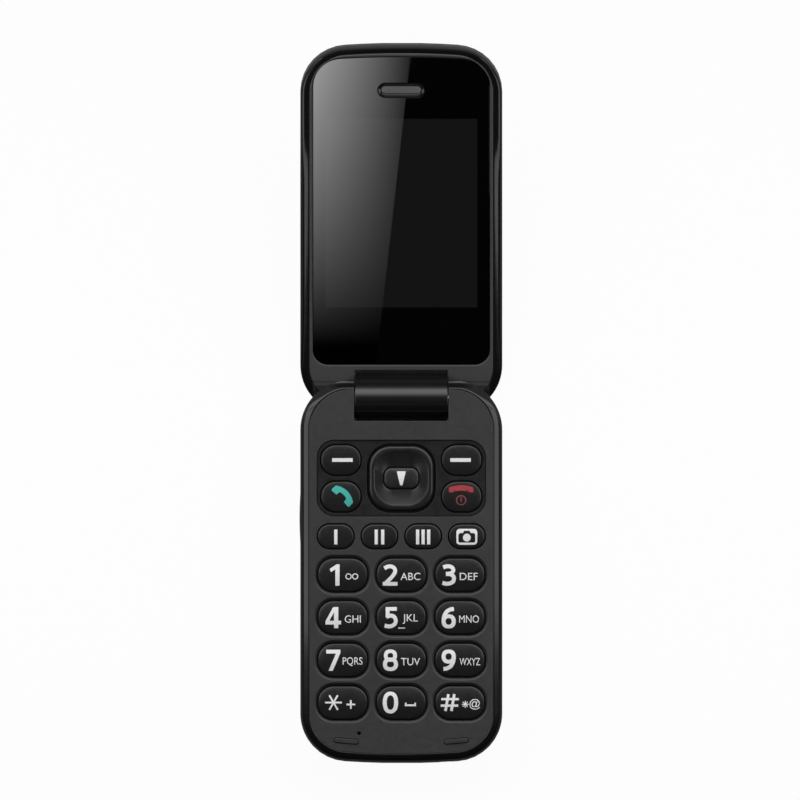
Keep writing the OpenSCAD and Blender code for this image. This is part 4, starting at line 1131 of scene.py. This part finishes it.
def handset(length, thick, bulb, sag, angle, x, y):
    """Telephone handset sign: a bowed grip with a block at each end, drawn as one outline."""
    half = length / 2
    upper = [(-half + length * k / 16, sag * (1 - (2 * k / 16 - 1) ** 2)) for k in range(17)]
    lower_half = half - bulb
    right = [(half + 0.12, -bulb * 0.75), (half - 0.1, -bulb), (lower_half - 0.02, -bulb * 0.92),
             (lower_half - 0.15, -bulb * 0.35)]
    inner = []
    for k in range(13):
        u = (1 - 2 * k / 12) * (lower_half - 0.35)
        inner.append((u, sag * (1 - (u / half) ** 2) - thick))
    left = [(-px, py) for px, py in reversed(right)]
    return flat_shape(turned(upper + right + inner + left, angle, (x, y)))


def with_body(obj):
    """Gives a flat sign a thin body below it."""
    edit_all(obj)
    bpy.ops.mesh.remove_doubles(threshold=0.0005)
    bpy.ops.mesh.dissolve_limited(angle_limit=math.radians(0.2))
    bpy.ops.object.mode_set(mode="OBJECT")
    if sum(p.normal.z * p.area for p in obj.data.polygons) < 0:
        obj.data.flip_normals()
    return modified(obj, "SOLIDIFY", thickness=0.05, offset=-1)


def fused(objs):
    """Joins strokes that cross into one body."""
    first = with_body(objs[0])
    for other in objs[1:]:
        modified(first, "BOOLEAN", operation="UNION", solver="EXACT", object=with_body(other))
        bpy.data.objects.remove(other)
    return first


def ink(groups, centre, top, crown):
    """Lays signs on a crowned key: crossing strokes are fused, all is cut small and bent to the crown."""
    lift, step = 0.012, 0.7
    signs = [fused(group) for group in groups]
    obj = united(signs) if len(signs) > 1 else signs[0]
    edit_all(obj)
    for axis in (0, 1):
        bpy.ops.object.mode_set(mode="OBJECT")
        places = [v.co[axis] for v in obj.data.vertices]
        bpy.ops.object.mode_set(mode="EDIT")
        k = math.ceil(min(places) / step + 0.01)
        while k * step < max(places):
            bpy.ops.mesh.select_all(action="SELECT")
            co, no = [0, 0, 0], [0, 0, 0]
            co[axis], no[axis] = k * step, 1
            bpy.ops.mesh.bisect(plane_co=co, plane_no=no)
            k += 1
    bpy.ops.object.mode_set(mode="OBJECT")
    for v in obj.data.vertices:
        v.co.z += top + lift - crown_fall(v.co.x, v.co.y, crown)
        v.co = (v.co + Vector((*centre, 0))) * MM
    obj.data.update()
    return outward(obj, 0.0000005)


# Digit, its place across, its letters, their place across and their width
NUMBER_LEGENDS = {
    "key_1": ("1", -2.15, "oo", 2.4, 3.4),
    "key_2": ("2", -2.95, "ABC", 2.4, 5.2),
    "key_3": ("3", -2.95, "DEF", 2.3, 4.7),
    "key_4": ("4", -2.5, "GHI", 2.65, 4.2),
    "key_5": ("5", -2.8, "JKL", 2.35, 4.0),
    "key_6": ("6", -2.95, "MNO", 2.4, 5.2),
    "key_7": ("7", -2.45, "PQRS", 2.6, 5.2),
    "key_8": ("8", -2.85, "TUV", 2.4, 5.0),
    "key_9": ("9", -2.95, "WXYZ", 2.6, 5.4),
}


def legend_pieces():
    """Printed signs and words, each on its own key: (name, key, finish, mesh)."""
    made = []
    top = FACE_Z + KEY_TOP
    side_top = top - 0.1

    def put(name, key, finish, groups, level=top, crown=KEY_CROWN):
        made.append((name + "_legend", key, finish, ink(groups, key_box(key)[0], level, crown)))
    for key, (figure, dx, word, wx, ww) in NUMBER_LEGENDS.items():
        groups = [digit(figure, dx, -0.03)]
        if word == "oo":
            groups += [[disc(0.82, wx + s * 0.88, LETTERS_Y, hole=0.56)] for s in (-1, 1)]
        else:
            groups.append([lettering(word, 1.95, wx, ww)])
        if key == "key_5":
            groups.append([flat_bar(1.8, 0.26, 0.1, -2.75)])
        put(key, key, "ink", groups)
    put("star", "key_star", "ink", [
        [flat_bar(4.4, 0.46, -2.4, 0.05, a) for a in (0, 60, 120)],
        [flat_bar(2.3, 0.46, 2.15, -0.45), flat_bar(0.46, 2.3, 2.15, -0.45)]])
    space_sign = [(0.95, 0.0), (0.95, -0.9), (3.85, -0.9), (3.85, 0.0), (3.4, 0.0), (3.4, -0.42),
                  (1.4, -0.42), (1.4, 0.0)]
    put("zero", "key_0", "ink", [digit("0", -2.85, 0.05), [flat_shape(space_sign)]])
    put("hash", "key_hash", "ink", [
        [flat_bar(4.6, 0.6, -2.6, 0.95), flat_bar(4.6, 0.6, -2.75, -0.75),
         flat_bar(0.72, 4.5, -3.4, 0.05, -10), flat_bar(0.72, 4.5, -1.85, 0.05, -10)],
        [lettering("@", 2.1, 3.9, bold=0.01)],
        [flat_bar(1.8, 0.24, 1.4, LETTERS_Y, a) for a in (0, 45, 90, 135)]])
    for key, places in zip(QUICK_KEYS, ((0,), (-0.85, 0.85), (-1.45, 0, 1.45))):
        put(key, key, "ink", [[flat_bar(0.85, 3.9, x, -0.15)] for x in places])
    window = [(-2.2, -1.35), (-1.95, -1.6), (1.95, -1.6), (2.2, -1.35), (2.2, 0.55), (1.75, 0.9), (1.0, 0.9),
              (0.72, 1.5), (-0.72, 1.5), (-1.0, 0.9), (-1.75, 0.9), (-2.2, 0.55)]
    put("camera", "camera_key", "ink", [
        [flat_shape(round_rect(5.5, 4.2, 0.95, n=6, at=(0, -0.1)), [window])], [disc(1.03, 0, -0.3)]])
    for key, x in (("left_soft_key", 0.4), ("right_soft_key", -0.3)):
        put(key, key, "ink", [[flat_bar(5.4, 0.98, x, 0.05)]], side_top)
    put("call", "call_key", "call", [[handset(6.3, 1.4, 1.75, 1.05, -45, 0.95, 0.75)]], side_top)
    put("end", "end_key", "end", [[handset(6.3, 1.45, 1.3, 0.6, 0, -0.15, 2.45)]], side_top)
    put("power", "end_key", "end_faint", [
        [disc(1.36, -0.15, -0.9, hole=1.05)], [flat_bar(0.34, 1.25, -0.15, -0.75)]], side_top)
    wedge = [(-1.15, 1.85), (1.15, 1.85), (0.95, 0.8), (0.3, -1.85), (-0.3, -1.85), (-0.95, 0.8)]
    put("centre", "centre_key", "ink", [[flat_shape(wedge)]], PAD_TOP - 0.1, CENTRE_CROWN)
    return made


# Settings a user would change

class PhoneColours(bpy.types.PropertyGroup):
    casing: bpy.props.FloatVectorProperty(
        name="Casing", description="Matte casing colour", subtype="COLOR",
        size=3, default=(0.034, 0.034, 0.036), min=0, max=1)
    rim: bpy.props.FloatVectorProperty(
        name="Rim", description="Glossy rim and hinge colour", subtype="COLOR",
        size=3, default=(0.006, 0.006, 0.0065), min=0, max=1)
    keys: bpy.props.FloatVectorProperty(
        name="Keys", description="Key plastic colour", subtype="COLOR",
        size=3, default=(0.0132, 0.0132, 0.014), min=0, max=1)
    legend: bpy.props.FloatVectorProperty(
        name="Legends", description="Printed digit colour", subtype="COLOR",
        size=3, default=(0.92, 0.92, 0.92), min=0, max=1)
    call: bpy.props.FloatVectorProperty(
        name="Call sign", description="Colour of the call sign", subtype="COLOR",
        size=3, default=(0.06, 0.5, 0.43), min=0, max=1)
    end: bpy.props.FloatVectorProperty(
        name="End sign", description="Colour of the end sign", subtype="COLOR",
        size=3, default=(0.4, 0.036, 0.046), min=0, max=1)
    glass: bpy.props.FloatVectorProperty(
        name="Glass border", description="Backing colour of the display glass", subtype="COLOR",
        size=3, default=(0.0006, 0.0006, 0.0007), min=0, max=1)
    screen: bpy.props.FloatVectorProperty(
        name="Screen", description="Display that is switched off", subtype="COLOR",
        size=3, default=(0.0115, 0.0115, 0.012), min=0, max=1)


class PhoneLight(bpy.types.PropertyGroup):
    room: bpy.props.FloatProperty(name="Room", description="Strength of the even room light",
                                  default=0.06, min=0, max=2)
    back: bpy.props.FloatProperty(name="Back wall", description="Strength of the soft wall beyond the lid",
                                  default=2.3, min=0, max=20)
    side: bpy.props.FloatProperty(name="Side panels", description="Panels at both sides", subtype="POWER",
                                  unit="POWER", default=0.088, min=0, max=10)
    card: bpy.props.FloatProperty(name="Reflection card", description="Strength of the card in the glass",
                                  default=7.5, min=0, max=50)


# Operators, one for each piece or group of like pieces

def refine(node, name, body, finish, edge, segments=2, angle=40, shading=35):
    """Dresses a frame node in its own shape, with its edges rounded."""
    fit_out(polished(node, edge, segments, angle), name, body, finish, [node], shading)


class PHONE_OT_stage(bpy.types.Operator):
    """Makes the finishes, the camera, the floor and the studio light"""
    bl_idname = "phone.stage"
    bl_label = "Stage and finishes"

    def execute(self, context):
        light = context.scene.phone_light
        make_finishes(context.scene.phone_colours)
        build_camera()
        build_room(light)
        build_floor()
        side_panels(light)
        reflection_card(light)
        return {"FINISHED"}


class PHONE_OT_casings(bpy.types.Operator):
    """Models the keypad plate, the rims and the back housings"""
    bl_idname = "phone.casings"
    bl_label = "Casings"

    def execute(self, context):
        fit_out(base_rim_piece(), "base_rim_gloss", "base", "gloss", ["base_rim"], 40)
        fit_out(front_plate(), "keypad_plate", "base", "matte", ["base_front_cover"], 30)
        fit_out(navigation_plate(), "navigation_plate", "base", "panel_satin", ["nav_panel"], 30)
        fit_out(rest_pads(), "rest_pads", "base", "rubber", ["rest_bumpers"])
        refine("base_rear_housing", "rear_housing", "base", "matte", 0.12)
        refine("battery_cover", "battery_door", "battery_cover", "matte", 0.12)
        refine("case_screws", "housing_screws", "base", "steel", 0.08, angle=30)
        refine("charging_port", "charging_socket", "base", "steel", 0.06)
        refine("headset_jack", "headset_socket", "base", "black", 0.08)
        return {"FINISHED"}


class PHONE_OT_lid(bpy.types.Operator):
    """Models the lid's rim, face, glass, earpiece, barrel and back"""
    bl_idname = "phone.lid"
    bl_label = "Lid and hinge"

    def execute(self, context):
        fit_out(lid_rim_piece(), "lid_rim_gloss", "lid", "gloss", ["lid_rim"], 40)
        fit_out(lid_face_plate(), "lid_face", "lid", "lid_matte_painted_paler", ["lid_inner_cover"], 30)
        fit_out(display_glass(), "display_glass", "lid", "glass", ["display_window"], 5)
        ring, bar = earpiece_parts()
        fit_out(ring, "earpiece_ring", "lid", "gloss")
        fit_out(bar, "earpiece_bar", "lid", "mesh", ["earpiece_mesh"])
        fit_out(barrel_piece(), "barrel", "lid", "barrel", ["hinge_barrel"], 30)
        refine("lid_outer_cover", "lid_back", "lid", "matte", 0.12)
        refine("outer_window", "outer_glass", "lid", "outer_glass", 0.15, 3, shading=30)
        refine("camera_lens", "camera_glass", "lid", "lens", 0.15, 3, shading=30)
        return {"FINISHED"}


class PHONE_OT_keys(bpy.types.Operator):
    """Models the keycaps, the navigation pad and the volume rocker"""
    bl_idname = "phone.keys"
    bl_label = "Keys"

    def execute(self, context):
        for name, obj in keycap_set().items():
            fit_out(obj, name + "_cap", name, "key", [name], 50)
        fit_out(nav_pad_piece(), "navigation_pad", "nav_pad", "key", ["nav_pad"], 40)
        fit_out(centre_key_piece(), "centre_cap", "centre_key", "centre", ["centre_key"], 50)
        refine("volume_key", "volume_rocker", "volume_key", "key", 0.2, 3)
        return {"FINISHED"}


class PHONE_OT_legends(bpy.types.Operator):
    """Prints the digits, letters and signs on the keys"""
    bl_idname = "phone.legends"
    bl_label = "Legends"

    def execute(self, context):
        for name, key, finish, obj in legend_pieces():
            fit_out(obj, name, key, finish, (), 30)
        return {"FINISHED"}


class PHONE_OT_inner_parts(bpy.types.Operator):
    """Gives the carried-over frame parts their finishes"""
    bl_idname = "phone.inner_parts"
    bl_label = "Inner parts"

    KEPT = {
        "rubber": ("key_mat", "nav_web"),
        "steel": ("dome_sheet", "shield_can", "sim_holder", "vibration_motor", "hinge_shaft", "hinge_spring"),
        "board": ("main_board", "lid_board"),
        "gold": ("battery_contacts",),
        "cell": ("battery_pack",),
        "black": ("microphone", "loudspeaker", "receiver", "camera_module", "hinge_pin", "hinge_sleeve"),
        "flex": ("hinge_cable",),
        "panel": ("display_panel",),
    }

    def execute(self, context):
        for finish, names in self.KEPT.items():
            for name in names:
                obj = frame["nodes"][name]
                if not obj.material_slots:
                    obj.data.materials.append(FINISH[finish])
                for slot in obj.material_slots:
                    slot.material = FINISH[finish]
        return {"FINISHED"}


class PHONE_PT_panel(bpy.types.Panel):
    """Lists the phone's colours, light and building steps"""
    bl_idname = "PHONE_PT_panel"
    bl_label = "Clamshell phone"
    bl_space_type = "VIEW_3D"
    bl_region_type = "UI"
    bl_category = "Phone"

    def draw(self, context):
        for group in (context.scene.phone_colours, context.scene.phone_light):
            box = self.layout.box()
            for name in group.__annotations__:
                box.prop(group, name)
        for operator in STEPS:
            self.layout.operator(operator.bl_idname)


STEPS = (PHONE_OT_stage, PHONE_OT_casings, PHONE_OT_lid, PHONE_OT_keys, PHONE_OT_legends,
         PHONE_OT_inner_parts)
CLASSES = (PhoneColours, PhoneLight) + STEPS + (PHONE_PT_panel,)


def register():
    for cls in CLASSES:
        bpy.utils.register_class(cls)
    bpy.types.Scene.phone_colours = bpy.props.PointerProperty(type=PhoneColours)
    bpy.types.Scene.phone_light = bpy.props.PointerProperty(type=PhoneLight)


def unregister():
    del bpy.types.Scene.phone_colours
    del bpy.types.Scene.phone_light
    for cls in reversed(CLASSES):
        bpy.utils.unregister_class(cls)


def main():
    register()
    bpy.ops.phone.stage()
    bpy.ops.phone.casings()
    bpy.ops.phone.lid()
    bpy.ops.phone.keys()
    bpy.ops.phone.legends()
    bpy.ops.phone.inner_parts()
    deselect()


if __name__ == "__main__":
    main()
